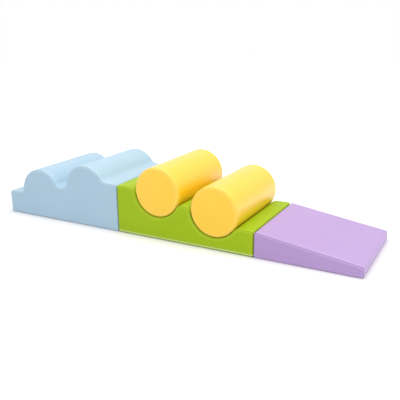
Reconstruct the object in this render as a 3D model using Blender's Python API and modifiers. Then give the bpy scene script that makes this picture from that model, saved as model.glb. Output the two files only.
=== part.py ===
"""Soft play foam climber: three covered foam blocks in line and two loose foam rollers.

Sizes are in metres, +Z up. The run goes along X from the wave block, over the cradle block
and its two rollers, down the ramp. The origin is on the floor at the middle of the run.
"""

import math
from typing import NamedTuple

import bmesh
import bpy
from mathutils import Matrix

# Blocks
BLOCK_WIDTH = 0.600
LONG_BLOCK_LENGTH = 0.900
RAMP_LENGTH = 0.600
LOW_HEIGHT = 0.150
HIGH_HEIGHT = 0.300
THIN_END_HEIGHT = 0.060

# Waves on the wave block. The pair stands off the block's middle, towards its high end
HUMP_RADIUS = 0.1535
HUMP_SPACING = 0.375
HUMP_PAIR_SHIFT = 0.0145
FIRST_HUMP_Z = 0.170
HUMP_CLIMB = 0.065
LOW_STEP_FILLET = 0.030
HUMP_VALLEY_RADIUS = 0.049
HIGH_STEP_FILLET = 0.060

# Rollers and the troughs that they lie in. The pair is off the block's middle, to its low end
ROLLER_RADIUS = 0.150
ROLLER_RIM_RADIUS = 0.018
ROLLER_END_INSET = 0.002
TROUGH_EASE = 0.004
TROUGH_SPACING = 0.375
TROUGH_PAIR_SHIFT = 0.0185
FIRST_TROUGH_FLOOR = 0.136
TROUGH_DROP = 0.065
HIGH_SHOULDER_RADIUS = 0.055
TROUGH_RIDGE_RADIUS = 0.050
LOW_SHOULDER_RADIUS = 0.045

# Sewn covers
COVER_THICKNESS = 0.0010
SEAM_GAP = 0.0012
CLEARANCE = 0.0003
EDGE_RADIUS = 0.012
END_RADIUS = 0.007
BASE_RADIUS = 0.010
CORNER_EASE = 0.002

# Hook and loop strips between the blocks
STRIP_MARGIN = 0.075
STRIP_HEIGHT = 0.050
STRIP_THICKNESS = 0.0019
STRIP_CORNER_RADIUS = 0.004

# Zips
ZIP_INSET = 0.110
LONG_ZIP_MARGIN = 0.100
RAMP_ZIP_MARGIN = 0.080
ROLLER_ZIP_MARGIN = 0.060
ZIP_SLOT_WIDTH = 0.012
ZIP_RECESS = 0.0022
TAPE_WIDTH = 0.028
TAPE_THICKNESS = 0.0006
TAPE_END = 0.015
TEETH_WIDTH = 0.005
TEETH_HEIGHT = 0.0024
TEETH_CHAMFER = 0.0007
SLIDER_LENGTH = 0.014
SLIDER_PLATE = 0.0010
SLIDER_NOSE = 0.0022
CROWN_LENGTH = 0.008
CROWN_HEIGHT = 0.0020
CROWN_BAND = 0.0009
CROWN_WIDTH = 0.0024

# Meshing
MERGE_DISTANCE = 0.00001
COUNT_TOLERANCE = 0.00001
CUT_OVERRUN = 0.004
ARC_STEP = math.radians(10)
CORNER_STEP = math.radians(30)
RIM_STEP = math.radians(22.5)
ROUNDING_SEGMENTS = 2
ROLLER_SIDES = 42
FACING_ANGLE = math.radians(2.5)
UNDERSIDE_ANGLE = math.radians(-60)
LEAST_REACH_SHARE = 1.05

# The seams run along the middle of the rounded edges
SEAM_ANGLE = math.radians(45)

# Worked out from the sizes above
BLOCK_GAP = 2 * STRIP_THICKNESS + 3 * CLEARANCE
RUN_LENGTH = 2 * LONG_BLOCK_LENGTH + RAMP_LENGTH + 2 * BLOCK_GAP
WAVE_X = -RUN_LENGTH / 2
CRADLE_X = WAVE_X + LONG_BLOCK_LENGTH + BLOCK_GAP
RAMP_X = CRADLE_X + LONG_BLOCK_LENGTH + BLOCK_GAP
FIRST_HUMP_X = (LONG_BLOCK_LENGTH - HUMP_SPACING) / 2 + HUMP_PAIR_SHIFT
FIRST_TROUGH_X = (LONG_BLOCK_LENGTH - TROUGH_SPACING) / 2 + TROUGH_PAIR_SHIFT
TROUGH_RADIUS = ROLLER_RADIUS + TROUGH_EASE
CORE_INSET = COVER_THICKNESS + CLEARANCE
CORNER_RADIUS = EDGE_RADIUS + CORNER_EASE
BASE_CORNER_RADIUS = BASE_RADIUS + CORNER_EASE
STRIP_LENGTH = BLOCK_WIDTH - 2 * STRIP_MARGIN
LONG_ZIP_SLOT = LONG_BLOCK_LENGTH - 2 * LONG_ZIP_MARGIN
RAMP_ZIP_SLOT = RAMP_LENGTH - 2 * RAMP_ZIP_MARGIN
ROLLER_ZIP_SLOT = BLOCK_WIDTH - 2 * ROLLER_ZIP_MARGIN
ROLLER_HALF_LENGTH = BLOCK_WIDTH / 2 - ROLLER_END_INSET
RIM_CENTRE_RADIUS = ROLLER_RADIUS - ROLLER_RIM_RADIUS
RIM_CENTRE_HEIGHT = ROLLER_HALF_LENGTH - ROLLER_RIM_RADIUS
HALF_SEAM_TURN = SEAM_GAP / 2 / ROLLER_RIM_RADIUS

# Heights in a zip, measured outwards from the outer face of the cover, so all are negative
CROWN_TOP = -ZIP_RECESS
PLATE_TOP = CROWN_TOP - CROWN_HEIGHT
PLATE_UNDERSIDE = PLATE_TOP - SLIDER_PLATE
TEETH_TOP = PLATE_UNDERSIDE - CLEARANCE
TAPE_LEVEL = TEETH_TOP - TEETH_HEIGHT / 2
TEETH_UNDERSIDE = TEETH_TOP - TEETH_HEIGHT
TAPE_TOP = TAPE_LEVEL + TAPE_THICKNESS / 2
HEM_END = TAPE_TOP + CLEARANCE
POCKET_FLOOR = TEETH_UNDERSIDE - CLEARANCE
SLIDER_HALF_WIDTH = TEETH_WIDTH / 2 + CLEARANCE + SLIDER_PLATE

# Base colour, roughness and metallic value of each finish
BLUE_COVER = ((0.50, 0.67, 0.82, 1.0), 0.45, 0.0)
GREEN_COVER = ((0.42, 0.62, 0.03, 1.0), 0.45, 0.0)
YELLOW_COVER = ((0.95, 0.64, 0.09, 1.0), 0.45, 0.0)
LILAC_COVER = ((0.60, 0.43, 0.78, 1.0), 0.45, 0.0)
BASE_CLOTH = ((0.10, 0.10, 0.11, 1.0), 0.85, 0.0)
FOAM = ((0.80, 0.76, 0.62, 1.0), 0.95, 0.0)
ZIP_NYLON = ((0.06, 0.06, 0.07, 1.0), 0.60, 0.0)
SLIDER_METAL = ((0.55, 0.55, 0.57, 1.0), 0.35, 1.0)
HOOK_TAPE = ((0.04, 0.04, 0.045, 1.0), 0.80, 0.0)
LOOP_TAPE = ((0.05, 0.05, 0.055, 1.0), 0.95, 0.0)


class Circle(NamedTuple):
    """A circle of a block's top line: side is +1 under a crest and -1 over a hollow."""

    x: float
    z: float
    radius: float
    side: int


class Arc(NamedTuple):
    """An arc of an outline, with the radius of the cover's edge at its start and end."""

    circle: Circle
    start: float
    end: float
    edge_start: float
    edge_end: float
    step: float


# Collections, materials and objects


def clear_scene():
    for old in list(bpy.data.objects):
        bpy.data.objects.remove(old, do_unlink=True)


def add_collection(name):
    collection = bpy.data.collections.new(name)
    bpy.context.scene.collection.children.link(collection)
    return collection


def add_finish(name, finish):
    """A plain Principled material for one piece."""
    colour, roughness, metallic = finish
    material = bpy.data.materials.new(name + "_finish")
    material.use_nodes = True
    shader = material.node_tree.nodes["Principled BSDF"]
    shader.inputs["Base Color"].default_value = colour
    shader.inputs["Roughness"].default_value = roughness
    shader.inputs["Metallic"].default_value = metallic
    return material


def add_part(collection, name, mesh, finish, parent):
    """An object for one piece of the climber, in its parent's space."""
    part = bpy.data.objects.new(name, mesh)
    mesh.name = name
    mesh.materials.clear()
    mesh.materials.append(add_finish(name, finish))
    collection.objects.link(part)
    part.parent = parent
    return part


def add_cutter(cutters, name, mesh, parent):
    """A tool for a Boolean, shown as wire and left out of renders."""
    cutter = bpy.data.objects.new(name, mesh)
    cutters.objects.link(cutter)
    cutter.parent = parent
    cutter.hide_render = True
    cutter.display_type = "WIRE"
    return cutter


def add_frame(collection, name, location, rotation=(0, 0, 0)):
    """The empty that carries the pieces of one block, roller or zip."""
    frame = bpy.data.objects.new(name, None)
    collection.objects.link(frame)
    frame.location = location
    frame.rotation_euler = rotation
    return frame


def add_boolean(part, operation, tool):
    modifier = part.modifiers.new(operation.lower(), "BOOLEAN")
    modifier.operation = operation
    modifier.solver = "EXACT"
    modifier.object = tool


def evaluated_mesh(source):
    """A new mesh of an object as its modifiers leave it, in the object's own space."""
    bpy.context.view_layer.update()
    graph = bpy.context.evaluated_depsgraph_get()
    return bpy.data.meshes.new_from_object(source.evaluated_get(graph))


# Outlines


def circle_beside_flat(height, neighbour, radius, side, end_x):
    """The circle between a neighbour and the flat top beside it, which ends at end_x.

    It touches both. Where the flat is short, its radius is what the flat leaves room for.
    """
    rise = height - neighbour.z
    gain = 2 * (neighbour.radius + side * rise)
    room = abs(end_x - neighbour.x) - CORNER_RADIUS
    fitting = (room**2 - neighbour.radius**2 + rise**2) / gain
    radius = min(radius, fitting)
    run = math.sqrt(neighbour.radius**2 - rise**2 + gain * radius)
    x = neighbour.x + math.copysign(run, end_x - neighbour.x)
    return Circle(x, height - side * radius, radius, side)


def circle_between(left, right, radius, side):
    """The circle that touches two equal ones, over them for a hollow, under for a crest.

    Where they stand far apart, its radius is what the space between them needs.
    """
    span = math.hypot(right.x - left.x, right.z - left.z)
    reach = max(left.radius + radius, LEAST_REACH_SHARE * span / 2)
    radius = reach - left.radius
    rise = math.sqrt(reach**2 - (span / 2) ** 2)
    up_x = (left.z - right.z) / span
    up_z = (right.x - left.x) / span
    middle_x = (left.x + right.x) / 2
    middle_z = (left.z + right.z) / 2
    return Circle(middle_x - side * rise * up_x, middle_z - side * rise * up_z, radius, side)


def direction_to(here, there):
    return math.atan2(there.z - here.z, there.x - here.x)


def top_arcs(circles):
    """Arcs along a row of touching circles, level at both ends, from left to right."""
    arcs = []
    for place, circle in enumerate(circles):
        level = circle.side * math.pi / 2
        start = direction_to(circle, circles[place - 1]) if place else level
        last = place == len(circles) - 1
        end = level if last else direction_to(circle, circles[place + 1])
        if circle.side * (end - start) > 0:
            end -= circle.side * 2 * math.pi
        arcs.append(Arc(circle, start, end, EDGE_RADIUS, EDGE_RADIUS, ARC_STEP))
    return arcs


def block_outline(length, left_height, right_height, top, slope=0):
    """All arcs of a block's outline, clockwise from the floor at its left end.

    Straight sides run between them. slope is the fall of a straight top, as an angle.
    """
    low = BASE_CORNER_RADIUS
    high = CORNER_RADIUS
    fall = high * math.tan(slope) + high / math.cos(slope)
    rise = high / math.cos(slope) - high * math.tan(slope)
    quarter = math.pi / 2
    left_foot = Circle(low, low, low, 1)
    left_top = Circle(high, left_height - fall, high, 1)
    right_top = Circle(length - high, right_height - rise, high, 1)
    right_foot = Circle(length - low, low, low, 1)
    return [
        Arc(left_foot, -quarter, -2 * quarter, BASE_RADIUS, END_RADIUS, CORNER_STEP),
        Arc(left_top, 2 * quarter, quarter - slope, END_RADIUS, EDGE_RADIUS, CORNER_STEP),
        *top,
        Arc(right_top, quarter - slope, 0, EDGE_RADIUS, END_RADIUS, CORNER_STEP),
        Arc(right_foot, 0, -quarter, END_RADIUS, BASE_RADIUS, CORNER_STEP),
    ]


def outline_points(arcs, inset):
    """Points (x, z, edge radius) of an outline that is set back into the foam by inset."""
    points = []
    for arc in arcs:
        radius = arc.circle.radius - arc.circle.side * inset
        count = math.ceil(abs(arc.end - arc.start) / arc.step - COUNT_TOLERANCE)
        for place in range(count + 1):
            share = place / count
            angle = arc.start + (arc.end - arc.start) * share
            edge = arc.edge_start + (arc.edge_end - arc.edge_start) * share
            x = arc.circle.x + radius * math.cos(angle)
            z = arc.circle.z + radius * math.sin(angle)
            if not points or math.dist((x, z), points[-1][:2]) > MERGE_DISTANCE:
                points.append((x, z, edge - inset))
    return points


def wave_outline():
    """Low step, two humps that climb, high flat."""
    first = Circle(FIRST_HUMP_X, FIRST_HUMP_Z, HUMP_RADIUS, 1)
    second = Circle(FIRST_HUMP_X + HUMP_SPACING, FIRST_HUMP_Z + HUMP_CLIMB, HUMP_RADIUS, 1)
    circles = [
        circle_beside_flat(LOW_HEIGHT, first, LOW_STEP_FILLET, -1, 0),
        first,
        circle_between(first, second, HUMP_VALLEY_RADIUS, -1),
        second,
        circle_beside_flat(HIGH_HEIGHT, second, HIGH_STEP_FILLET, -1, LONG_BLOCK_LENGTH),
    ]
    return block_outline(LONG_BLOCK_LENGTH, LOW_HEIGHT, HIGH_HEIGHT, top_arcs(circles))


def trough_circles():
    """The two hollows of the cradle that the rollers lie in."""
    first_z = FIRST_TROUGH_FLOOR + TROUGH_RADIUS
    first = Circle(FIRST_TROUGH_X, first_z, TROUGH_RADIUS, -1)
    second = Circle(FIRST_TROUGH_X + TROUGH_SPACING, first_z - TROUGH_DROP, TROUGH_RADIUS, -1)
    return first, second


def cradle_outline():
    """High flat, two troughs that step down, low flat."""
    first, second = trough_circles()
    circles = [
        circle_beside_flat(HIGH_HEIGHT, first, HIGH_SHOULDER_RADIUS, 1, 0),
        first,
        circle_between(first, second, TROUGH_RIDGE_RADIUS, 1),
        second,
        circle_beside_flat(LOW_HEIGHT, second, LOW_SHOULDER_RADIUS, 1, LONG_BLOCK_LENGTH),
    ]
    return block_outline(LONG_BLOCK_LENGTH, HIGH_HEIGHT, LOW_HEIGHT, top_arcs(circles))


def ramp_outline():
    """A straight top that falls to the thin end."""
    slope = math.atan2(LOW_HEIGHT - THIN_END_HEIGHT, RAMP_LENGTH)
    return block_outline(RAMP_LENGTH, LOW_HEIGHT, THIN_END_HEIGHT, [], slope)


# Meshes


def slab_mesh(name, points, half_depth):
    """A flat outline in XY with half_depth to each side of it, as one closed mesh."""
    curve = bpy.data.curves.new(name, "CURVE")
    curve.dimensions = "2D"
    curve.fill_mode = "BOTH"
    curve.extrude = half_depth
    spline = curve.splines.new("POLY")
    spline.points.add(len(points) - 1)
    for slot, (x, y) in zip(spline.points, points):
        slot.co = (x, y, 0, 1)
    spline.use_cyclic_u = True
    holder = bpy.data.objects.new(name, curve)
    bpy.context.scene.collection.objects.link(holder)
    mesh = evaluated_mesh(holder)
    bpy.data.objects.remove(holder)
    bpy.data.curves.remove(curve)
    cleaned = bmesh.new()
    cleaned.from_mesh(mesh)
    bmesh.ops.remove_doubles(cleaned, verts=cleaned.verts, dist=MERGE_DISTANCE)
    flat = {"verts": cleaned.verts, "edges": cleaned.edges}
    bmesh.ops.dissolve_limit(cleaned, angle_limit=math.radians(0.5), **flat)
    bmesh.ops.recalc_face_normals(cleaned, faces=cleaned.faces)
    cleaned.to_mesh(mesh)
    cleaned.free()
    return mesh


def box_mesh(name, low, high):
    """A box between two corners."""
    size = [top - bottom for bottom, top in zip(low, high)]
    middle = [(top + bottom) / 2 for bottom, top in zip(low, high)]
    box = bmesh.new()
    place = Matrix.Translation(middle) @ Matrix.Diagonal((*size, 1))
    bmesh.ops.create_cube(box, size=1, matrix=place)
    mesh = bpy.data.meshes.new(name)
    box.to_mesh(mesh)
    box.free()
    return mesh


def upright(mesh):
    """Turn a slab that was drawn in XY so that it stands in XZ."""
    mesh.transform(Matrix.Rotation(math.pi / 2, 4, "X"))
    return mesh


def weigh_edges(mesh, points, widest):
    """Give the edges of both side faces their share of the widest rounding."""
    work = bmesh.new()
    work.from_mesh(mesh)
    weights = work.edges.layers.float.new("bevel_weight_edge")
    radius_at = {}
    for vertex in work.verts:
        nearest = min(points, key=lambda p: math.dist(p[:2], (vertex.co.x, vertex.co.z)))
        radius_at[vertex.index] = nearest[2]
    for edge in work.edges:
        first, second = edge.verts
        if first.co.y * second.co.y > 0:
            edge[weights] = (radius_at[first.index] + radius_at[second.index]) / 2 / widest
    work.to_mesh(mesh)
    work.free()


def rounded_block(name, arcs, inset):
    """An object with the block's body, set back by inset, its side edges rounded."""
    points = outline_points(arcs, inset)
    half_width = BLOCK_WIDTH / 2 - inset
    mesh = upright(slab_mesh(name, [point[:2] for point in points], half_width))
    weigh_edges(mesh, points, EDGE_RADIUS - inset)
    body = bpy.data.objects.new(name, mesh)
    rounding = body.modifiers.new("rounding", "BEVEL")
    rounding.limit_method = "WEIGHT"
    rounding.width = EDGE_RADIUS - inset
    rounding.segments = ROUNDING_SEGMENTS
    rounding.use_clamp_overlap = False
    return body


def panel_of(face):
    """The name of the cover panel that a face of the rounded block belongs to.

    The side panels reach to the middle of the rounded edges, and round the edge of the base.
    """
    normal = face.normal
    side = "front" if normal.y < 0 else "back"
    if normal.z < -math.cos(FACING_ANGLE):
        return "base"
    if abs(normal.y) > math.cos(SEAM_ANGLE):
        return side
    turned_under = math.atan2(normal.z, abs(normal.x)) < UNDERSIDE_ANGLE
    on_edge = abs(normal.y) > math.sin(FACING_ANGLE)
    return side if turned_under and on_edge else "wrap"


def cover_panel(body_mesh, panel):
    """The open surface of one panel, drawn in from its seams by half a seam gap."""
    work = bmesh.new()
    work.from_mesh(body_mesh)
    others = [face for face in work.faces if panel_of(face) != panel]
    bmesh.ops.delete(work, geom=others, context="FACES")
    border = bmesh.ops.inset_region(work, faces=work.faces, thickness=SEAM_GAP / 2,
                                    use_even_offset=True, use_boundary=True)
    bmesh.ops.delete(work, geom=border["faces"], context="FACES")
    mesh = bpy.data.meshes.new(panel)
    work.to_mesh(mesh)
    work.free()
    return mesh


def add_thickness(part):
    """Give a cover panel its thickness, inwards."""
    wall = part.modifiers.new("wall", "SOLIDIFY")
    wall.thickness = COVER_THICKNESS
    wall.offset = -1
    wall.use_even_offset = True


def turned_mesh(name, profile, closed, sides=ROLLER_SIDES):
    """A profile of (radius, height) points turned once round Z."""
    mesh = bpy.data.meshes.new(name)
    edges = [(place, place + 1) for place in range(len(profile) - 1)]
    if closed:
        edges.append((len(profile) - 1, 0))
    mesh.from_pydata([(radius, 0, height) for radius, height in profile], edges, [])
    holder = bpy.data.objects.new(name, mesh)
    bpy.context.scene.collection.objects.link(holder)
    screw = holder.modifiers.new("turning", "SCREW")
    screw.steps = sides
    screw.render_steps = sides
    screw.use_merge_vertices = True
    screw.merge_threshold = MERGE_DISTANCE
    turned = evaluated_mesh(holder)
    bpy.data.objects.remove(holder)
    return turned


# Zips. Each is made lying along X with +Z out of the cover, and placed by its frame.


def across_to_along(mesh):
    """Turn a slab whose outline is a cross-section so that it runs along X."""
    mesh.transform(Matrix(((0, 0, 1, 0), (1, 0, 0, 0), (0, 1, 0, 0), (0, 0, 0, 1))))
    return mesh


def mirrored(points):
    """A right half outline, from top to bottom, with its mirror image on the left."""
    return points + [(-across, height) for across, height in reversed(points)]


def tape_mesh(name, slot_length):
    """Both tapes edge to edge. They run on past the slot, where they are sewn down."""
    half = (slot_length / 2 + TAPE_END, TAPE_WIDTH / 2, TAPE_THICKNESS / 2)
    low = (-half[0], -half[1], TAPE_LEVEL - half[2])
    high = (half[0], half[1], TAPE_LEVEL + half[2])
    return box_mesh(name, low, high)


def teeth_mesh(name, slot_length):
    """The closed row of teeth, as long as the slot."""
    half_teeth = TEETH_WIDTH / 2
    section = mirrored([
        (half_teeth - TEETH_CHAMFER, TEETH_TOP),
        (half_teeth, TEETH_TOP - TEETH_CHAMFER),
        (half_teeth, TEETH_UNDERSIDE + TEETH_CHAMFER),
        (half_teeth - TEETH_CHAMFER, TEETH_UNDERSIDE),
    ])
    return across_to_along(slab_mesh(name, section, slot_length / 2 - CLEARANCE * 2))


def slider_body_mesh(name):
    """The slider's plate with a flange down each side of the teeth."""
    inner = SLIDER_HALF_WIDTH - SLIDER_PLATE
    section = mirrored([
        (SLIDER_HALF_WIDTH - SLIDER_PLATE / 2, PLATE_TOP),
        (SLIDER_HALF_WIDTH, PLATE_TOP - SLIDER_PLATE / 2),
        (SLIDER_HALF_WIDTH, HEM_END),
        (inner, HEM_END),
        (inner, PLATE_UNDERSIDE),
    ])
    return across_to_along(slab_mesh(name, section, SLIDER_LENGTH / 2))


def crown_mesh(name):
    """The low arch on the slider's plate that an opening hook goes through."""
    steps = range(round(math.pi / CORNER_STEP) + 1)
    foot = PLATE_TOP - SLIDER_PLATE / 2
    outer = [(CROWN_LENGTH / 2 * math.cos(step * CORNER_STEP),
              foot + (CROWN_TOP - foot) * math.sin(step * CORNER_STEP)) for step in steps]
    inner = [(share_x * (CROWN_LENGTH / 2 - CROWN_BAND) / (CROWN_LENGTH / 2),
              foot + (height - foot) * (CROWN_TOP - CROWN_BAND - foot) / (CROWN_TOP - foot))
             for share_x, height in outer]
    return upright(slab_mesh(name, outer + inner[::-1], CROWN_WIDTH / 2))


def slider_nose_mesh(name):
    """A cutter for the slanted sides of the slider's nose, at the end of its plate."""
    end = SLIDER_LENGTH / 2
    outside = SLIDER_HALF_WIDTH + CUT_OVERRUN
    reach = SLIDER_NOSE * (1 + CUT_OVERRUN / SLIDER_HALF_WIDTH)
    corner = [(end - SLIDER_NOSE, SLIDER_HALF_WIDTH), (end - SLIDER_NOSE, outside),
              (end + reach, outside), (end + reach, SLIDER_HALF_WIDTH - 2 * SLIDER_PLATE)]
    return slab_mesh(name, corner, CUT_OVERRUN * 2)


def add_zip(parts, cutters, prefix, frame, slot_length, finish=ZIP_NYLON):
    """The tape and the slider of a zip, and the three tools that make room for it."""
    tape = add_part(parts, prefix + "_zip_tape", tape_mesh(prefix, slot_length), finish, frame)
    teeth = add_cutter(cutters, prefix + "_teeth", teeth_mesh(prefix, slot_length), frame)
    add_boolean(tape, "UNION", teeth)
    slider_mesh = slider_body_mesh(prefix)
    slider = add_part(parts, prefix + "_zip_slider", slider_mesh, SLIDER_METAL, frame)
    slider.location = ((slot_length - SLIDER_LENGTH) / 2 - CLEARANCE * 2, 0, 0)
    crown = add_cutter(cutters, prefix + "_crown", crown_mesh(prefix), slider)
    nose = add_cutter(cutters, prefix + "_nose", slider_nose_mesh(prefix), slider)
    other = add_cutter(cutters, prefix + "_nose_mirrored", mirrored_mesh(nose.data), slider)
    add_boolean(slider, "UNION", crown)
    add_boolean(slider, "DIFFERENCE", nose)
    add_boolean(slider, "DIFFERENCE", other)
    return zip_tools(cutters, prefix, frame, slot_length)


def mirrored_mesh(mesh):
    """A copy of a mesh on the other side of XZ, with its faces still pointing out."""
    copy = mesh.copy()
    copy.transform(Matrix.Diagonal((1, -1, 1, 1)))
    copy.flip_normals()
    return copy


def zip_tools(cutters, prefix, frame, slot_length):
    """The hem block, the slot through it and the pocket in the foam."""
    half_slot = (slot_length / 2, ZIP_SLOT_WIDTH / 2)
    half_hem = [size + COVER_THICKNESS for size in half_slot]
    half_pocket = [slot_length / 2 + TAPE_END + CLEARANCE * 3, TAPE_WIDTH / 2 + CLEARANCE * 3]
    levels = {
        "hem": (half_hem, HEM_END, -COVER_THICKNESS / 2),
        "slot": (half_slot, HEM_END - CUT_OVERRUN, CUT_OVERRUN),
        "pocket": (half_pocket, POCKET_FLOOR, CUT_OVERRUN),
    }
    tools = {}
    for use, (half, bottom, top) in levels.items():
        mesh = box_mesh(use, (-half[0], -half[1], bottom), (half[0], half[1], top))
        tools[use] = add_cutter(cutters, prefix + "_" + use, mesh, frame)
    return tools


def fit_zip(cores, panel, tools):
    """Hem and cut the panel's slot, and sink the pocket into the foam."""
    add_boolean(panel, "UNION", tools["hem"])
    add_boolean(panel, "DIFFERENCE", tools["slot"])
    for core in cores:
        add_boolean(core, "DIFFERENCE", tools["pocket"])


# Blocks


def cradle_sections():
    """Ends of the three sections of the cradle's foam, which is glued up under the rollers."""
    first, second = [trough.x for trough in trough_circles()]
    half_glue = CLEARANCE / 2
    return {
        "foam_high": (-CUT_OVERRUN, first - half_glue),
        "foam_ridge": (first + half_glue, second - half_glue),
        "foam_low": (second + half_glue, LONG_BLOCK_LENGTH + CUT_OVERRUN),
    }


def add_core(parts, cutters, frame, name, arcs, ends):
    """The foam of a block, or the section of it between two ends."""
    core = rounded_block(name, arcs, CORE_INSET)
    core.parent = frame
    core.data.materials.append(add_finish(name, FOAM))
    parts.objects.link(core)
    if ends:
        low = (ends[0], -BLOCK_WIDTH, -CUT_OVERRUN)
        high = (ends[1], BLOCK_WIDTH, HIGH_HEIGHT + CUT_OVERRUN)
        section = add_cutter(cutters, name + "_section", box_mesh(name, low, high), frame)
        add_boolean(core, "INTERSECT", section)
    return core


def add_block(parts, cutters, prefix, left_x, arcs, length, slot_length, finish, foam=None):
    """A block: its foam, the four panels of its cover and the zip in its base.

    foam gives the ends of the foam's sections by name; without it the foam is one core.
    """
    frame = add_frame(parts, prefix + "_frame", (left_x, 0, 0))
    foam = foam or {"foam_core": None}
    cores = [add_core(parts, cutters, frame, prefix + "_" + name, arcs, ends)
             for name, ends in foam.items()]
    body = rounded_block(prefix + "_body", arcs, 0)
    cutters.objects.link(body)
    body_mesh = evaluated_mesh(body)
    bpy.data.objects.remove(body)
    panels = {}
    for panel in ("wrap", "front", "back", "base"):
        name = prefix + "_" + panel + "_panel"
        panel_finish = BASE_CLOTH if panel == "base" else finish
        mesh = cover_panel(body_mesh, panel)
        panels[panel] = add_part(parts, name, mesh, panel_finish, frame)
        add_thickness(panels[panel])
    zip_place = (length / 2, BLOCK_WIDTH / 2 - ZIP_INSET, 0)
    zip_frame = add_frame(parts, prefix + "_zip_frame", zip_place, (math.pi, 0, 0))
    zip_frame.parent = frame
    tools = add_zip(parts, cutters, prefix, zip_frame, slot_length)
    fit_zip(cores, panels["base"], tools)
    return frame


def add_strip(parts, name, frame, x, z, finish):
    """One half of a hook and loop fastening, on a block's end face at x."""
    half_length = STRIP_LENGTH / 2
    half_height = STRIP_HEIGHT / 2
    inner = half_length - STRIP_CORNER_RADIUS
    inner_height = half_height - STRIP_CORNER_RADIUS
    points = []
    for quarter, (side, level) in enumerate(((1, 1), (-1, 1), (-1, -1), (1, -1))):
        for step in range(round(math.pi / 2 / CORNER_STEP) + 1):
            angle = quarter * math.pi / 2 + step * CORNER_STEP
            points.append((side * inner + STRIP_CORNER_RADIUS * math.cos(angle),
                           level * inner_height + STRIP_CORNER_RADIUS * math.sin(angle)))
    mesh = across_to_along(slab_mesh(name, points, STRIP_THICKNESS / 2))
    strip = add_part(parts, name, mesh, finish, frame)
    strip.location = (x, 0, z)
    return strip


def add_strips(parts, wave, cradle, ramp):
    """Hooks and loops on the end faces that meet, in the middle of each face."""
    proud = STRIP_THICKNESS / 2 + CLEARANCE
    right_face = LONG_BLOCK_LENGTH + proud
    upper = HIGH_HEIGHT / 2
    lower = LOW_HEIGHT / 2
    add_strip(parts, "wave_hook_strip", wave, right_face, upper, HOOK_TAPE)
    add_strip(parts, "cradle_loop_strip", cradle, -proud, upper, LOOP_TAPE)
    add_strip(parts, "cradle_hook_strip", cradle, right_face, lower, HOOK_TAPE)
    add_strip(parts, "ramp_loop_strip", ramp, -proud, lower, LOOP_TAPE)


# Rollers. Each is made standing on Z, and its frame lays it along Y with its zip down.


def rim(inset, start, end):
    """Points (radius, height) of a roller's rounded rim, set back into the foam by inset.

    They run from one turn to another: 0 faces along the axis, a quarter turn away from it.
    """
    rim_radius = ROLLER_RIM_RADIUS - inset
    count = round((end - start) / RIM_STEP)
    turns = [start + (end - start) * place / count for place in range(count + 1)]
    return [(RIM_CENTRE_RADIUS + rim_radius * math.sin(turn),
             RIM_CENTRE_HEIGHT + rim_radius * math.cos(turn)) for turn in turns]


def upside_down(points):
    """A profile mirrored to the other end of the roller, still running downwards."""
    return [(across, -height) for across, height in reversed(points)]


def roller_side(inset, start):
    """The side of a roller, from a turn on one rim to the same turn on the other."""
    top = rim(inset, start, math.pi / 2)
    return top + upside_down(top)


def roller_core_mesh(name):
    end = ROLLER_HALF_LENGTH - CORE_INSET
    return turned_mesh(name, [(0, end), *roller_side(CORE_INSET, 0), (0, -end)], False)


def roller_wrap_mesh(name):
    start = SEAM_ANGLE + HALF_SEAM_TURN
    section = roller_side(0, start) + roller_side(COVER_THICKNESS, start)[::-1]
    return turned_mesh(name, section, True)


def roller_cap_mesh(name, end):
    """The round panel of the cover on the back (+1) or front (-1) end."""
    turns = (0, SEAM_ANGLE - HALF_SEAM_TURN)
    outer = [(0, ROLLER_HALF_LENGTH), *rim(0, *turns)]
    inner = [(0, ROLLER_HALF_LENGTH - COVER_THICKNESS), *rim(COVER_THICKNESS, *turns)]
    section = outer + inner[::-1]
    return turned_mesh(name, section if end > 0 else upside_down(section), False)


def roller_height(trough):
    """Height of a roller's axis when it lies on the floor of its trough."""
    floor_reach = trough.radius * math.cos(ARC_STEP / 2)
    return trough.z - (floor_reach - ROLLER_RADIUS - CLEARANCE)


def add_roller(parts, cutters, prefix, trough):
    """A roller in its trough: foam core, wrap, two caps and the zip along its underside."""
    place = (CRADLE_X + trough.x, 0, roller_height(trough))
    frame = add_frame(parts, prefix + "_axis", place, (-math.pi / 2, 0, 0))
    core_mesh = roller_core_mesh(prefix)
    core = add_part(parts, prefix + "_foam_core", core_mesh, FOAM, frame)
    wrap_mesh = roller_wrap_mesh(prefix)
    wrap = add_part(parts, prefix + "_wrap_panel", wrap_mesh, YELLOW_COVER, frame)
    for side, end in (("front", -1), ("back", 1)):
        cap = roller_cap_mesh(prefix, end)
        add_part(parts, prefix + "_" + side + "_cap", cap, YELLOW_COVER, frame)
    flat_side = ROLLER_RADIUS * math.cos(math.pi / ROLLER_SIDES)
    along_axis = Matrix(((0, 1, 0), (0, 0, 1), (1, 0, 0))).to_euler()
    zip_frame = add_frame(parts, prefix + "_zip_frame", (0, flat_side, 0), along_axis)
    zip_frame.parent = frame
    tools = add_zip(parts, cutters, prefix, zip_frame, ROLLER_ZIP_SLOT)
    fit_zip([core], wrap, tools)


def smooth_parts(parts):
    """Shade the rounded surfaces smooth and keep the real edges sharp."""
    for part in parts.objects:
        if part.type == "MESH":
            part.data.shade_smooth()
            part.data.set_sharp_from_angle(angle=math.radians(40))


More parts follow.
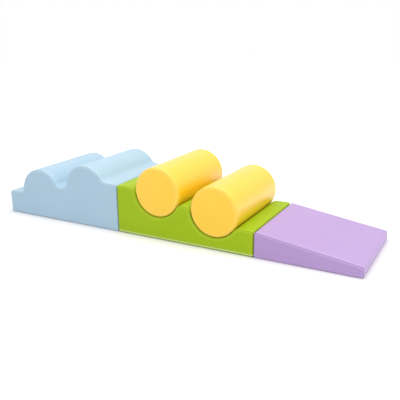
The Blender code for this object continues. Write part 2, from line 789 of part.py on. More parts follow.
def build():
    clear_scene()
    parts = add_collection("soft_play_foam_climber")
    cutters = add_collection("cutters")
    long_block = (LONG_BLOCK_LENGTH, LONG_ZIP_SLOT)
    wave = add_block(parts, cutters, "wave", WAVE_X, wave_outline(), *long_block, BLUE_COVER)
    cradle = add_block(parts, cutters, "cradle", CRADLE_X, cradle_outline(), *long_block,
                       GREEN_COVER, cradle_sections())
    ramp = add_block(parts, cutters, "ramp", RAMP_X, ramp_outline(), RAMP_LENGTH,
                     RAMP_ZIP_SLOT, LILAC_COVER)
    add_strips(parts, wave, cradle, ramp)
    for prefix, trough in zip(("upper_roller", "lower_roller"), trough_circles()):
        add_roller(parts, cutters, prefix, trough)
    smooth_parts(parts)


build()
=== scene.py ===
"""Soft play foam climber, dressed: sewn leathercloth covers over foam, two rollers and zips.

Lengths are in metres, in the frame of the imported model: X along the run from the wave block
to the ramp, Y from front to back, Z up from the floor.
"""

import logging
import math
from collections.abc import Callable, Iterable, Sequence
from dataclasses import dataclass, field, replace
from enum import Enum
from functools import cache

import bpy
import numpy as np
from mathutils import Matrix


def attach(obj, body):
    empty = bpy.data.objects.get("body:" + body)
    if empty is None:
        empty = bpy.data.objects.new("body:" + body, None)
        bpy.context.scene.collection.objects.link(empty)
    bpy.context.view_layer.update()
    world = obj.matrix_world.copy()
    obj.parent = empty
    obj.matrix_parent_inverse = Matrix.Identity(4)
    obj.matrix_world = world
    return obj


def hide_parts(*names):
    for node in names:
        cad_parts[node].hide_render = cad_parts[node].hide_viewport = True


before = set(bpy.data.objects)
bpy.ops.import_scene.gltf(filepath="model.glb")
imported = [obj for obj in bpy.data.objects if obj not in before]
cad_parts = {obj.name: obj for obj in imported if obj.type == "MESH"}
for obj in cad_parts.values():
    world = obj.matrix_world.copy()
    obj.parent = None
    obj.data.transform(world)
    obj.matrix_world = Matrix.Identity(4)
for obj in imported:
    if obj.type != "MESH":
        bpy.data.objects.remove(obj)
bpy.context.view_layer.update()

Array = np.ndarray
Colour = tuple[float, float, float]
Socket = bpy.types.NodeSocket

log = logging.getLogger("climber")

FRONT, BACK = -1, 1
QUARTER = math.pi / 2
SEAM_TURN = math.radians(45)
FOOT_TURN = math.radians(30)
COVER_THICKNESS = 0.0010
CLEARANCE = 0.0003
DENT_DEPTH = 0.0034
DENT_WIDTH = 0.0045

# Distances from a seam, finest in the rolled lip of the panel
LADDER = np.array([0.00006, 0.0002, 0.0004, 0.0007, 0.0011, 0.0016, 0.0022, 0.0031, 0.0044,
                   0.0062, 0.0085, 0.0115, 0.0155, 0.0205, 0.0275])
LIP_ROWS = 7

# How finely the outlines are searched, and how many points are compared at once
SEARCH_STEPS = 4000
BASE_SEARCH_STEPS = 6000
COMPARED_AT_ONCE = 4000
ON_FLOOR = 1e-7

# A hollow bends more than this; the cloth is held there, and painted with shade further in
HOLLOW_BEND = -0.5
HELD_REACH = 40
PAINTED_SHADE_REACH = 6
PAINTED_SHADE_FROM_SEAM = 0.006
CREASE_FROM_SEAM = 0.004


# Numbers and meshes


def bell(values: Array, middle: float | Array, spread: float) -> Array:
    """exp(-((value - middle) / spread)^2)."""
    return np.exp(-(((values - middle) / spread) ** 2))


def stacked(*parts: Array | float) -> Array:
    """The parts, spread to one shape, side by side along a last axis."""
    return np.stack(np.broadcast_arrays(*parts), axis=-1)


def smooth(share: Array) -> Array:
    """A smooth step: s^2 (3 - 2 s)."""
    return share**2 * (3 - 2 * share)


def places_of(stops: Iterable[float], values: Array) -> list[int]:
    """Place in the values of the nearest to each stop."""
    return [int(np.abs(values - stop).argmin()) for stop in stops]


def numbers_of(grid: Array, start: int = 0) -> Array:
    """Vertex numbers of a grid's points, row by row from a start."""
    return np.arange(grid.size).reshape(grid.shape) + start


def ring_of(numbers: Array) -> Array:
    """Vertex numbers once round a grid's border."""
    return np.concatenate([numbers[0, :-1], numbers[:-1, -1],
                           numbers[-1, :0:-1], numbers[:0:-1, 0]])


def mirrored(front: Array, back: Array) -> Array:
    """Columns from the front to the middle and on to the back, with the middle one once."""
    return np.concatenate([front, back[:, -2::-1]], axis=1)


def grid_quads(numbers: Array, closed: bool = False) -> Array:
    """All quads of a grid of vertex numbers, row by row.

    Args:
        numbers: The grid.
        closed: True joins the two ends of every row.

    Returns:
        One quad a row.
    """
    if closed:
        numbers = np.concatenate([numbers, numbers[:, :1]], axis=1)
    corners = (numbers[:-1, :-1], numbers[:-1, 1:], numbers[1:, 1:], numbers[1:, :-1])
    return np.stack([corner.ravel() for corner in corners], axis=1)


def fan_of(ring: Array, tip: int) -> Array:
    """Triangles from a closed ring of vertex numbers to a tip."""
    return stacked(ring, np.roll(ring, -1), tip)


def facing_out(points: Array, ways: Array | Sequence[float], faces: Array) -> Array:
    """Turn the faces round together where most of them face against the given ways.

    The sign is that of the sum over faces of (a diagonal x the other) . way, or of
    (an edge x the other) . way for triangles.

    Args:
        points: All points.
        ways: Outward way at each point, or one for all.
        faces: Quads or triangles, one a row.

    Returns:
        The faces.
    """
    first = faces[:, 0]
    one = points[faces[:, -2]] - points[first]
    other = points[faces[:, -1]] - points[faces[:, -3]]
    along = np.einsum("ij,ij->i", np.cross(one, other),
                      np.broadcast_to(ways, points.shape)[first])
    return faces if along.sum() > 0 else faces[:, ::-1]


@dataclass
class Shape:
    """Vertices, faces and the values that the materials read at each vertex."""

    points: Array
    faces: list[Array]
    values: dict[str, Array] = field(default_factory=dict)

    def placed(self, place: Matrix) -> "Shape":
        """The shape moved by a matrix: each point times the turn, plus the shift."""
        points = self.points @ np.array(place.to_3x3()).T + np.array(place.translation)
        return Shape(points, self.faces, self.values)

    def joined(self, other: "Shape") -> "Shape":
        """Both shapes as one; this one's values are 0 on the other.

        Args:
            other: The shape to add.

        Returns:
            The joined shape.
        """
        start, nothing = len(self.points), np.zeros(len(other.points))
        values = {name: np.append(value, nothing) for name, value in self.values.items()}
        return Shape(np.concatenate([self.points, other.points]),
                     self.faces + [part + start for part in other.faces], values)

    def object(self, name: str) -> bpy.types.Object:
        """A smooth-shaded object of the shape, at the origin.

        Args:
            name: Name of the object and of its mesh.

        Returns:
            The object, linked to the scene.
        """
        mesh = bpy.data.meshes.new(name)
        faces = [face for part in self.faces for face in part.tolist()]
        mesh.from_pydata(self.points.tolist(), [], faces)
        for label, value in self.values.items():
            layer = mesh.attributes.new(label, "FLOAT", "POINT")
            layer.data.foreach_set("value", np.ascontiguousarray(value, dtype=np.float32))
        mesh.shade_smooth()
        mesh.update()
        made = bpy.data.objects.new(name, mesh)
        bpy.context.scene.collection.objects.link(made)
        return made


def dressed(piece: bpy.types.Object, finish: "Finish", body: str, node: str,
            thickness: float = 0.0) -> None:
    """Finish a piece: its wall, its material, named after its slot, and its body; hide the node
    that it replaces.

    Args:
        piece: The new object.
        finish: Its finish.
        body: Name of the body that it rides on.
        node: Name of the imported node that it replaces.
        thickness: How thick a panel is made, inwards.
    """
    if thickness:
        wall = piece.modifiers.new("wall", "SOLIDIFY")
        wall.thickness = thickness
        wall.offset = -1
        wall.use_even_offset = False
    piece.data.materials.clear()
    piece.data.materials.append(finish.material())
    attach(piece, body)
    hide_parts(node)
    log.info("%s: %d faces, on %s", piece.name, len(piece.data.polygons), body)


# Outlines


@dataclass(frozen=True)
class Circle:
    """A circle of an outline: side is +1 under a crest and -1 over a hollow."""

    x: float
    z: float
    radius: float
    side: int


@dataclass(frozen=True)
class Arc:
    """An arc of an outline, with the radius of the cover's edge at its start and end."""

    circle: Circle
    start: float
    end: float
    edge_start: float
    edge_end: float


@dataclass(frozen=True)
class Rounding:
    """Radii of the covers' rounded edges and of a block's corners."""

    edge: float = 0.012
    end: float = 0.007
    base: float = 0.010
    corner: float = 0.014
    foot: float = 0.012


def circle_beside_flat(height: float, neighbour: Circle, radius: float, end_x: float,
                       corner: float) -> Circle:
    """The circle between a neighbour and the flat top beside it, which ends at end_x.

    It touches both: its run from the neighbour is the root of R^2 - rise^2 + gain r.

    Args:
        height: Height of the flat.
        neighbour: The circle that it touches.
        radius: Its radius, or less where the flat leaves no room for it.
        end_x: Where the flat ends.
        corner: Radius of the corner at that end.

    Returns:
        The circle, on the other side of the outline than its neighbour.
    """
    side = -neighbour.side
    rise = height - neighbour.z
    gain = 2 * (neighbour.radius + side * rise)
    room = abs(end_x - neighbour.x) - corner
    radius = min(radius, (room**2 - neighbour.radius**2 + rise**2) / gain)
    run = math.sqrt(neighbour.radius**2 - rise**2 + gain * radius)
    x = neighbour.x + math.copysign(run, end_x - neighbour.x)
    return Circle(x, height - side * radius, radius, side)


def circle_between(left: Circle, right: Circle, radius: float) -> Circle:
    """The circle that touches two equal ones, over crests or under hollows.

    Its centre stands off the middle of the two by the root of (R + r)^2 - (span / 2)^2.

    Args:
        left: One of the two.
        right: The other.
        radius: Radius of the circle between them.

    Returns:
        The circle, on the other side of the outline than the two.
    """
    side = -left.side
    span = math.hypot(right.x - left.x, right.z - left.z)
    rise = side * math.sqrt((left.radius + radius) ** 2 - (span / 2) ** 2)
    x = (left.x + right.x) / 2 - rise * (left.z - right.z) / span
    z = (left.z + right.z) / 2 - rise * (right.x - left.x) / span
    return Circle(x, z, radius, side)


def top_arcs(circles: Sequence[Circle], edge: float) -> list[Arc]:
    """Arcs along a row of touching circles, level at both ends, from left to right.

    Args:
        circles: The row.
        edge: Radius of the cover's edge along it.

    Returns:
        One arc a circle, each from its touch with the last to its touch with the next.
    """
    arcs = []
    for place, circle in enumerate(circles):
        level = circle.side * QUARTER
        near = [None, *circles[:place]][-1], [*circles[place + 1:], None][0]
        start, end = (math.atan2(other.z - circle.z, other.x - circle.x) if other else level
                      for other in near)
        if circle.side * (end - start) > 0:
            end -= circle.side * 2 * math.pi
        arcs.append(Arc(circle, start, end, edge, edge))
    return arcs


@dataclass(frozen=True)
class Line:
    """Points along an outline, with the cover's edge radius and outward facing at each."""

    x: Array
    z: Array
    facing: Array
    edge: Array
    run: Array

    @property
    def facing_x(self) -> Array:
        """X part of the outward normal."""
        return np.cos(self.facing)

    @property
    def facing_z(self) -> Array:
        """Z part of the outward normal."""
        return np.sin(self.facing)

    @property
    def seam_turn(self) -> Array:
        """Where the seam runs on the rounded edge: 45 degrees, easing to 0 at the base."""
        from_down = np.arccos(np.clip(-self.facing_z, -1, 1))
        return SEAM_TURN * smooth(np.clip(from_down / FOOT_TURN, 0, 1))

    @property
    def inner(self) -> Array:
        """X and Z, one point a row, where the rounded edge ends and the flat side begins."""
        return stacked(self.x - self.facing_x * self.edge,
                       self.z - self.facing_z * self.edge)

    def picked(self, places: Array) -> "Line":
        """The points at some places."""
        parts = (self.x, self.z, self.facing, self.edge, self.run)
        return Line(*(part[places] for part in parts))


@dataclass(frozen=True)
class Outline:
    """A closed outline, clockwise, as fine points, with the bend after each of them.

    The bend is below 0 over a hollow and 0 on a straight. The corners are distances along it,
    clockwise from the lower left.
    """

    dense: Line
    bend: Array
    corners: tuple[float, ...]

    @property
    def length(self) -> float:
        """Length of the whole outline."""
        return float(self.dense.run[-1])

    @property
    def base_length(self) -> float:
        """Length of the straight base, where the base panel is."""
        return float(np.ptp(self.dense.x[np.abs(self.dense.z) < ON_FLOOR]))

    def at(self, runs: Array) -> Line:
        """The line's points at distances along it, by straight steps between its points.

        Args:
            runs: Distances along the line.

        Returns:
            The points.
        """
        wrapped = np.where(runs > self.length, runs - self.length, runs)
        parts = (self.dense.x, self.dense.z, self.dense.facing, self.dense.edge)
        return Line(*(np.interp(wrapped, self.dense.run, part) for part in parts), runs)

    def steps(self, start: float, end: float, step: float, turn: float,
              count: int = 0) -> Array:
        """Distances along the line, closer where it bends.

        Their density is 1 / step plus the bend / turn; equal shares of its integral are taken.

        Args:
            start: Where to begin.
            end: Where to stop.
            step: Spacing on a straight stretch.
            turn: Turn from one to the next on a bend.
            count: How many steps to take; 0 takes as many as the density asks for.

        Returns:
            The distances, both ends among them.
        """
        fine = np.linspace(start, end, SEARCH_STEPS)
        place = np.searchsorted(self.dense.run, np.mod(fine, self.length), "right") - 1
        bend = self.bend[np.clip(place, 0, len(self.bend) - 1)]
        density = 1 / step + np.abs(bend) / turn
        parts = (density[1:] + density[:-1]) / 2 * np.diff(fine)
        total = np.concatenate([[0], np.cumsum(parts)])
        count = count or math.ceil(total[-1])
        return np.interp(np.linspace(0, total[-1], count + 1), total, fine)


def outline_of(arcs: Sequence[Arc]) -> Outline:
    """Fine points along arcs and the straight sides between them.

    On an arc a point is its centre plus the radius times (cos, sin) of its angle.

    Args:
        arcs: The arcs in order, clockwise; the first and last two are the corners.

    Returns:
        The outline.
    """
    spacing = 0.0006
    parts, middles, total = [], [], 0
    for arc in arcs:
        circle = arc.circle
        count = max(8, math.ceil(abs(arc.end - arc.start) * circle.radius / spacing))
        share = np.linspace(0, 1, count + 1)
        angle = arc.start + (arc.end - arc.start) * share
        parts.append(np.stack([circle.x + circle.radius * np.cos(angle),
                               circle.z + circle.radius * np.sin(angle),
                               angle if circle.side > 0 else angle + math.pi,
                               arc.edge_start + (arc.edge_end - arc.edge_start) * share]))
        middles.append(total + count // 2)
        total += count + 1
    x, z, facing, edge = np.concatenate([*parts, parts[0][:, :1]], axis=1)
    run = np.concatenate([[0], np.cumsum(np.hypot(np.diff(x), np.diff(z)))])
    corners = tuple(float(run[middles[place]]) for place in (0, 1, -2, -1))
    apart = np.concatenate([[True], np.diff(run) > spacing / 50])
    line = Line(x, z, np.unwrap(facing), edge, run).picked(apart)
    return Outline(line, -np.diff(line.facing) / np.diff(line.run), corners)


def block_outline(length: float, left_height: float, right_height: float,
                  top: Sequence[Arc], rounding: Rounding, slope: float = 0.0) -> Outline:
    """A block's outline, clockwise from the floor at its left end.

    Args:
        length: Length of the block.
        left_height: Height of its left end.
        right_height: Height of its right end.
        top: Arcs of its top, from left to right.
        rounding: Radii of its edges and corners.
        slope: Fall of a straight top, as an angle.

    Returns:
        The outline, in the block's own X from 0.
    """
    low, high = rounding.foot, rounding.corner
    fall = high * math.tan(slope) + high / math.cos(slope)
    rise = high / math.cos(slope) - high * math.tan(slope)
    edge, end, base = rounding.edge, rounding.end, rounding.base
    return outline_of([
        Arc(Circle(low, low, low, 1), -QUARTER, -2 * QUARTER, base, end),
        Arc(Circle(high, left_height - fall, high, 1), 2 * QUARTER, QUARTER - slope, end, edge),
        *top,
        Arc(Circle(length - high, right_height - rise, high, 1), QUARTER - slope, 0, edge, end),
        Arc(Circle(length - low, low, low, 1), 0, -QUARTER, end, base),
    ])


# How a taut cover lies


@dataclass(frozen=True)
class Drape:
    """How a taut cover lies over its foam, beside its seams and away from them."""

    lip_width: float = 0.0019
    lip_depth: float = 0.0022
    puff: float = 0.0007
    puff_place: float = 0.0085
    puff_spread: float = 0.0075
    pucker: float = 0.00042
    pucker_length: float = 0.019
    pucker_reach: float = 0.0095
    crown: float = 0.0009
    crown_reach: float = 0.055
    sway: float = 0.00022
    sway_waves: int = 7
    seed: int = 1

    def dip(self, seam: Array) -> Array:
        """The rolled lip: a quarter of an ellipse down into the seam."""
        inside = np.clip(1 - seam / self.lip_width, 0, 1)
        return self.lip_depth * (1 - np.sqrt(1 - inside**2))

    def swaying(self, points: Array) -> Array:
        """A gentle unevenness: the sum of sin(2 pi d . p / length + phase) over some waves.

        Args:
            points: Where, one row a point.

        Returns:
            The height at each point.
        """
        draw = np.random.default_rng(self.seed)
        ways = draw.normal(size=(self.sway_waves, 3))
        ways /= np.linalg.norm(ways, axis=1, keepdims=True)
        lengths = draw.uniform(0.10, 0.42, self.sway_waves)
        phases = draw.uniform(0, 2 * math.pi, self.sway_waves)
        waves = np.sin(points @ (2 * math.pi * ways / lengths[:, None]).T + phases)
        return self.sway * waves.sum(axis=-1) / math.sqrt(self.sway_waves)

    def puckers(self, seam: Array, along: Array) -> Array:
        """Small gathers beside a seam.

        A sine along the seam whose phase and height wander, times exp(-distance / reach).

        Args:
            seam: Distance to the seam.
            along: Distance along it.

        Returns:
            The height along the outward normal.
        """
        phase = np.random.default_rng(self.seed).uniform(0, 2 * math.pi, 4)
        wander = 1.7 * np.sin(along / 0.031 + phase[0]) + 1.1 * np.sin(along / 0.0127 + phase[1])
        wave = np.sin(2 * math.pi * along / self.pucker_length + wander)
        height = 0.55 + 0.45 * np.sin(along / 0.047 + phase[2])
        near = np.exp(-seam / self.pucker_reach) * np.clip(seam / self.lip_width, 0.35, 1)
        return self.pucker * wave * height * near

    def rise(self, points: Array, seam: Array, along: Array, ease: Array) -> Array:
        """How far the cover stands out from the plain surface.

        Crown (1 - exp(-(distance / reach)^2)) and sway where it lies free, plus a puff
        exp(-((distance - place) / spread)^2) and puckers beside the seam, less the lip's dip.

        Args:
            points: Where it is, one row a point.
            seam: Distance to the nearest seam.
            along: Distance along that seam.
            ease: 1 where the cover lies free, 0 where it lies against something.

        Returns:
            The height along the outward normal.
        """
        crown = self.crown * (1 - bell(seam, 0, self.crown_reach))
        puff = self.puff * bell(seam, self.puff_place, self.puff_spread)
        free = (0.25 + 0.75 * ease) * puff + ease * (crown + self.swaying(points))
        return free + self.puckers(seam, along) * (0.4 + 0.6 * ease) - self.dip(seam)


@dataclass(frozen=True)
class Crease:
    """A shallow fold on a side panel, from one point (x, z) of the run to another."""

    start: tuple[float, float]
    end: tuple[float, float]
    depth: float
    width: float

    def rise(self, x: Array, z: Array) -> Array:
        """A groove -exp(-(r / width)^2) with a soft ridge beside it, fading to its ends.

        Args:
            x: X of the points.
            z: Z of the points.

        Returns:
            The height along the outward normal.
        """
        start = np.array(self.start)
        step = np.array(self.end) - start
        offset = stacked(x, z) - start
        share = offset @ step / (step @ step)
        across = (offset[..., 0] * step[1] - offset[..., 1] * step[0]) / np.linalg.norm(step)
        fade = np.clip(1 - (2 * np.clip(share, -0.5, 1.5) - 1) ** 2, 0, 1) ** 0.6
        ridge = bell(across, 2.1 * self.width, 1.4 * self.width)
        return self.depth * fade * (0.75 * ridge - bell(across, 0, self.width))


# Covers cut from an outline


@dataclass(frozen=True)
class Cover:
    """A cover in panels, sewn round a body that is its outline carried across its width."""

    outline: Outline
    left_x: float
    half_width: float
    drape: Drape
    step: float
    turn: float = math.radians(6)
    middle_rows: int = 11
    creases: tuple[Crease, ...] = ()
    inset: float = 0.0
    welt_and_highlight: float = 0.0
    welt_place: float = 0.0115
    welt_spread: float = 0.0034

    def foot_ridge(self, points: Array, normals: Array) -> Array:
        """A welt just above the floor: its height times a bell of z and the level facing."""
        level = np.hypot(normals[..., 0], normals[..., 1])
        return self.welt_and_highlight * level * bell(points[..., 2], self.welt_place, self.welt_spread)

    def across(self, line: Line) -> Array:
        """Distances from the front seam over half the wrap: a fine ladder, then even steps.

        Args:
            line: The outline's points.

        Returns:
            Distances, one row a point.
        """
        total = line.edge * line.seam_turn + self.half_width - line.edge
        rest = np.linspace(0, 1, self.middle_rows + 1)[1:]
        even = LADDER[-1] + (total[:, None] - LADDER[-1]) * rest
        fine = np.broadcast_to(LADDER, (len(total), len(LADDER)))
        return np.concatenate([fine, even], axis=1)

    def surface(self, line: Line, turned: Array, side: int) -> tuple[Array, Array]:
        """Points on the rounded edge and beyond it.

        With t the turn from facing along the outline's normal to facing sideways, a point is
        the outline's, less edge (1 - cos t) along its normal, at half the width less
        edge (1 - sin t) to the side. Lengths before t = 0 go back over the flat, and those
        past a quarter turn go down the side.

        Args:
            line: The outline's points, one a row.
            turned: Lengths over the edge from t = 0, one row a point.
            side: FRONT or BACK.

        Returns:
            The points and their outward normals.
        """
        edge, facing_x, facing_z = (part[:, None] for part in
                                    (line.edge, line.facing_x, line.facing_z))
        turn = np.clip(turned / edge, 0, QUARTER)
        cos, sin = np.cos(turn), np.sin(turn)
        drop = edge * (1 - cos) + self.inset * cos
        out = self.half_width - edge * (1 - sin) - self.inset * sin + np.minimum(turned, 0)
        points = stacked(self.left_x + line.x[:, None] - facing_x * drop, side * out,
                         line.z[:, None] - facing_z * drop)
        return points, stacked(facing_x * cos, side * sin, facing_z * cos)

    def flat_side(self, grid: Array, side: int) -> Array:
        """Points of a grid (x, z) on the flat front or back, one a row."""
        x, z = grid.reshape(-1, 2).T
        return stacked(self.left_x + x, side * (self.half_width - self.inset), z)

    def held(self, line: Line, reach: int) -> Array:
        """1 in the hollows, 0 elsewhere, smoothed twice over a reach of fine points.

        Args:
            line: Where on the outline.
            reach: How many fine points each smoothing reaches to each side.

        Returns:
            The value at each of the line's points.
        """
        hollow = (self.outline.bend < HOLLOW_BEND).astype(float)
        for _ in range(2):
            padded = np.concatenate([hollow[-reach:], hollow, hollow[:reach]])
            hollow = np.convolve(padded, np.ones(2 * reach + 1) / (2 * reach + 1), "valid")
        return np.interp(np.mod(line.run, self.outline.length), self.outline.dense.run[:-1],
                         hollow)


@dataclass(frozen=True)
class WrapPanel:
    """The panel that goes up one end of a block, over its top and down the other end."""

    cover: Cover

    def shape(self) -> Shape:
        """The panel: a grid of the outline by the width, raised by the drape.

        It lies free by the square of its upward facing, but not in a hollow.

        Returns:
            The shape.
        """
        cover, outline = self.cover, self.cover.outline
        last = outline.length - outline.base_length
        inner = outline.steps(LADDER[-1], last - LADDER[-1], cover.step, cover.turn)
        runs = np.concatenate([LADDER[:-1], inner, last - LADDER[:-1][::-1]])
        line = outline.at(runs)
        across = cover.across(line)
        turned = (line.edge * line.seam_turn)[:, None] - across
        points, normals = (mirrored(front, back) for front, back in
                           zip(cover.surface(line, turned, FRONT),
                               cover.surface(line, turned, BACK)))
        side_seam = mirrored(across, across)
        end_seam = np.minimum(runs, last - runs)[:, None]
        seam = np.minimum(side_seam, end_seam)
        along = np.where(side_seam < end_seam, runs[:, None], points[..., 1])
        hold = np.clip(1.6 * cover.held(line, HELD_REACH), 0, 1)
        free = np.clip(line.facing_z, 0, 1) ** 2 * (1 - hold)
        ease = np.broadcast_to(free[:, None], seam.shape)
        rise = cover.drape.rise(points, seam, along, ease) + cover.foot_ridge(points, normals)
        points = points + normals * rise[..., None]
        points[..., 2] = np.maximum(points[..., 2], 0)
        flat, out = points.reshape(-1, 3), normals.reshape(-1, 3)
        # Where the material paints shade: the hollows, away from the side seams
        inside = np.clip((side_seam - PAINTED_SHADE_FROM_SEAM) / PAINTED_SHADE_FROM_SEAM, 0, 1)
        held = cover.held(line, PAINTED_SHADE_REACH)[:, None] * inside
        return Shape(flat, [facing_out(flat, out, grid_quads(numbers_of(seam)))],
                     {"seam": seam.ravel(), "along": along.ravel(), "held": held.ravel()})


@dataclass(frozen=True)
class SidePanel:
    """The front or back panel of a block, from the seams round it to its middle."""

    cover: Cover
    side: int

    def loop(self) -> tuple[Array, int, int]:
        """Distances round the outline, clockwise from the lower left corner.

        Each step along the base is straight below one along the top, so that the panel's
        columns are upright.

        Returns:
            The distances, and how many steps they take across and up.
        """
        outline, spacing = self.cover.outline, (self.cover.step, self.cover.turn)
        lower_left, upper_left, upper_right, lower_right = outline.corners
        ends = ((lower_left, upper_left), (upper_right, lower_right))
        up = max(len(outline.steps(*end, *spacing)) for end in ends) - 1
        left, right = (outline.steps(*end, *spacing, up) for end in ends)
        top = outline.steps(upper_left, upper_right, *spacing)
        fine = np.linspace(lower_right, outline.length + lower_left, BASE_SEARCH_STEPS)
        base_x, top_x = (outline.at(runs).inner[:, 0] for runs in (fine, top))
        share = (top_x - top_x[0]) / (top_x[-1] - top_x[0])
        wanted = base_x[-1] + (base_x[0] - base_x[-1]) * share
        base = np.interp(wanted, base_x[::-1], fine[::-1])[::-1]
        runs = np.concatenate([part[:-1] for part in (left, top, right, base)])
        return runs, len(top) - 1, up

    def filling(self, runs: Array, across: int, up: int) -> tuple[Array, Array]:
        """A grid over the flat side whose border is the inner line.

        A point is a Coons patch: the mean of the two ways to go straight between opposite
        sides, less what the four corners alone would give.

        Args:
            runs: Distances round the outline.
            across: How many steps they take across.
            up: How many steps they take up.

        Returns:
            The grid's points (x, z), and the numbers of its border in the order of the runs.
        """
        border = self.cover.outline.at(runs).inner
        left, top = border[:up + 1], border[up:up + across + 1]
        right = border[up + across:2 * up + across + 1][::-1]
        base = np.concatenate([border[2 * up + across:], border[:1]])[::-1]
        rise_left, rise_right = ((part[:, 1] - part[0, 1]) / (part[-1, 1] - part[0, 1])
                                 for part in (left, right))
        u = ((top[:, 0] - top[0, 0]) / (top[-1, 0] - top[0, 0]))[:, None, None]
        v = ((1 - u[..., 0]) * rise_left + u[..., 0] * rise_right)[..., None]
        corners = ((1 - u) * (1 - v) * base[0] + u * (1 - v) * base[-1]
                   + (1 - u) * v * top[0] + u * v * top[-1])
        grid = ((1 - v) * base[:, None] + v * top[:, None]
                + (1 - u) * left[None] + u * right[None] - corners)
        return grid, ring_of(numbers_of(grid[..., 0]))

    def from_outline(self, grid: Array) -> tuple[Array, Line]:
        """Distance of each point of a grid to the outline, and the outline's nearest point.

        Args:
            grid: Points (x, z).

        Returns:
            The distances, and the nearest of every third fine point.
        """
        dense = self.cover.outline.dense
        line = dense.picked(np.arange(0, len(dense.x), 3))
        border = stacked(line.x, line.z)
        spots = grid.reshape(-1, 2)
        nearest, gap = np.empty(len(spots), dtype=int), np.empty(len(spots))
        for start in range(0, len(spots), COMPARED_AT_ONCE):
            some = slice(start, start + COMPARED_AT_ONCE)
            part = spots[some]
            square = (part**2).sum(1)[:, None] - 2 * part @ border.T + (border**2).sum(1)
            nearest[some] = square.argmin(axis=1)
            gap[some] = np.sqrt(np.maximum(square.min(axis=1), 0))
        return gap, line.picked(nearest)

    def shape(self) -> Shape:
        """The panel: rings over its half of the rounded edge, then the filling.

        Returns:
            The shape.
        """
        cover = self.cover
        loop, across, up = self.loop()
        line = cover.outline.at(loop)
        reach = line.edge * (QUARTER - line.seam_turn)
        lip = LADDER[:LIP_ROWS]
        rest = lip[-1] + (reach[:, None] - lip[-1]) * np.linspace(0, 1, 7)[1:-1]
        rings = np.concatenate([np.broadcast_to(lip, (len(reach), LIP_ROWS)), rest], axis=1)
        turned = (line.edge * line.seam_turn)[:, None] + rings
        points, normals = (part.transpose(1, 0, 2).reshape(-1, 3)
                           for part in cover.surface(line, turned, self.side))
        grid, border = self.filling(loop, across, up)
        gap, near = self.from_outline(grid)
        deep = gap - near.edge + near.edge * (QUARTER - near.seam_turn)
        deep[border] = reach
        near_runs = near.run.copy()
        near_runs[border] = loop
        seam = np.concatenate([rings.T.ravel(), deep])
        along = np.concatenate([np.tile(loop, rings.shape[1]), near_runs])
        flat = cover.flat_side(grid, self.side)
        way = np.tile([0.0, float(self.side), 0.0], (len(flat), 1))
        every, facing = np.concatenate([points, flat]), np.concatenate([normals, way])
        rise = cover.drape.rise(every, seam, along, np.ones(len(seam)))
        rise += cover.foot_ridge(every, facing)
        for crease in cover.creases:
            near = np.clip(seam / CREASE_FROM_SEAM, 0, 1)
            rise += crease.rise(every[:, 0], every[:, 2]) * near
        every = every + facing * rise[:, None]
        every[:, 2] = np.maximum(every[:, 2], 0)
        rows = np.concatenate([numbers_of(rings.T), border[None] + rings.size])
        parts = (grid_quads(rows, True), grid_quads(numbers_of(grid[..., 0], rings.size)))
        return Shape(every, [facing_out(every, facing, part) for part in parts],
                     {"seam": seam, "along": along})


# Slots for zips


@dataclass(frozen=True)
class Slot:
    """An opening in a panel, hemmed inwards down to the zip's tape."""

    length: float
    width: float = 0.012
    roll: float = 0.0008
    depth: float = 0.0060

    @property
    def reach(self) -> float:
        """Half the length of the opening's border."""
        return self.length / 2 + self.roll

    @property
    def side(self) -> float:
        """Half the width of the opening's border."""
        return self.width / 2 + self.roll

    def hem(self, border: Array, out: Array, middle: Array, way: Array) -> list[Array]:
        """Rings of points down the hem, from the border of the opening.

        The first ones turn a quarter round over the roll, the last goes straight down.

        Args:
            border: Points round the opening.
            out: Outward normal at each.
            middle: Middle of the opening.
            way: Unit vector along it.

        Returns:
            The rings, each as many points as the border.
        """
        half = (self.length - self.width) / 2
        place = np.clip((border - middle) @ way, -half, half)
        inward = middle + place[:, None] * way - border
        inward -= (inward * out).sum(1)[:, None] * out
        inward /= np.linalg.norm(inward, axis=1)[:, None]
        rings = [border + inward * self.roll * math.sin(turn)
                 - out * self.roll * (1 - math.cos(turn)) for turn in np.radians([30, 60, 90])]
        return [*rings, rings[-1] - out * (self.depth - self.roll)]


def slotted(points: Array, normals: Array, values: dict[str, Array], hole: Sequence[int],
            slot: Slot, middle: Array, way: Array) -> Shape:
    """A grid with an opening and its hem.

    Args:
        points: The grid's points.
        normals: Their outward normals.
        values: Values at each point, for the materials.
        hole: First and last row, then first and last column, of the opening's border.
        slot: The opening.
        middle: Middle of the opening, on the surface.
        way: Unit vector along the opening.

    Returns:
        The shape.
    """
    top, bottom, left, right = hole
    numbers = numbers_of(points[..., 0])
    keep = np.ones((len(numbers) - 1, len(numbers[0]) - 1), dtype=bool)
    keep[top:bottom, left:right] = False
    flat, out = points.reshape(-1, 3), normals.reshape(-1, 3)
    quads = facing_out(flat, out, grid_quads(numbers)[keep.ravel()])
    border = ring_of(numbers[top:bottom + 1, left:right + 1])
    rings = slot.hem(flat[border], out[border], middle, way)
    every = np.concatenate([flat, *rings])
    rows = np.arange(len(flat), len(every)).reshape(len(rings), -1)
    rows = np.concatenate([border[None], rows])
    guide = np.zeros_like(every)
    guide[rows] = middle + ((flat[border] - middle) @ way)[:, None] * way - flat[border]
    hem = facing_out(every, guide, grid_quads(rows, True))
    filled = {name: np.concatenate([value.ravel(), *[value.ravel()[border]] * len(rings)])
              for name, value in values.items()}
    return Shape(every, [quads, hem], filled)


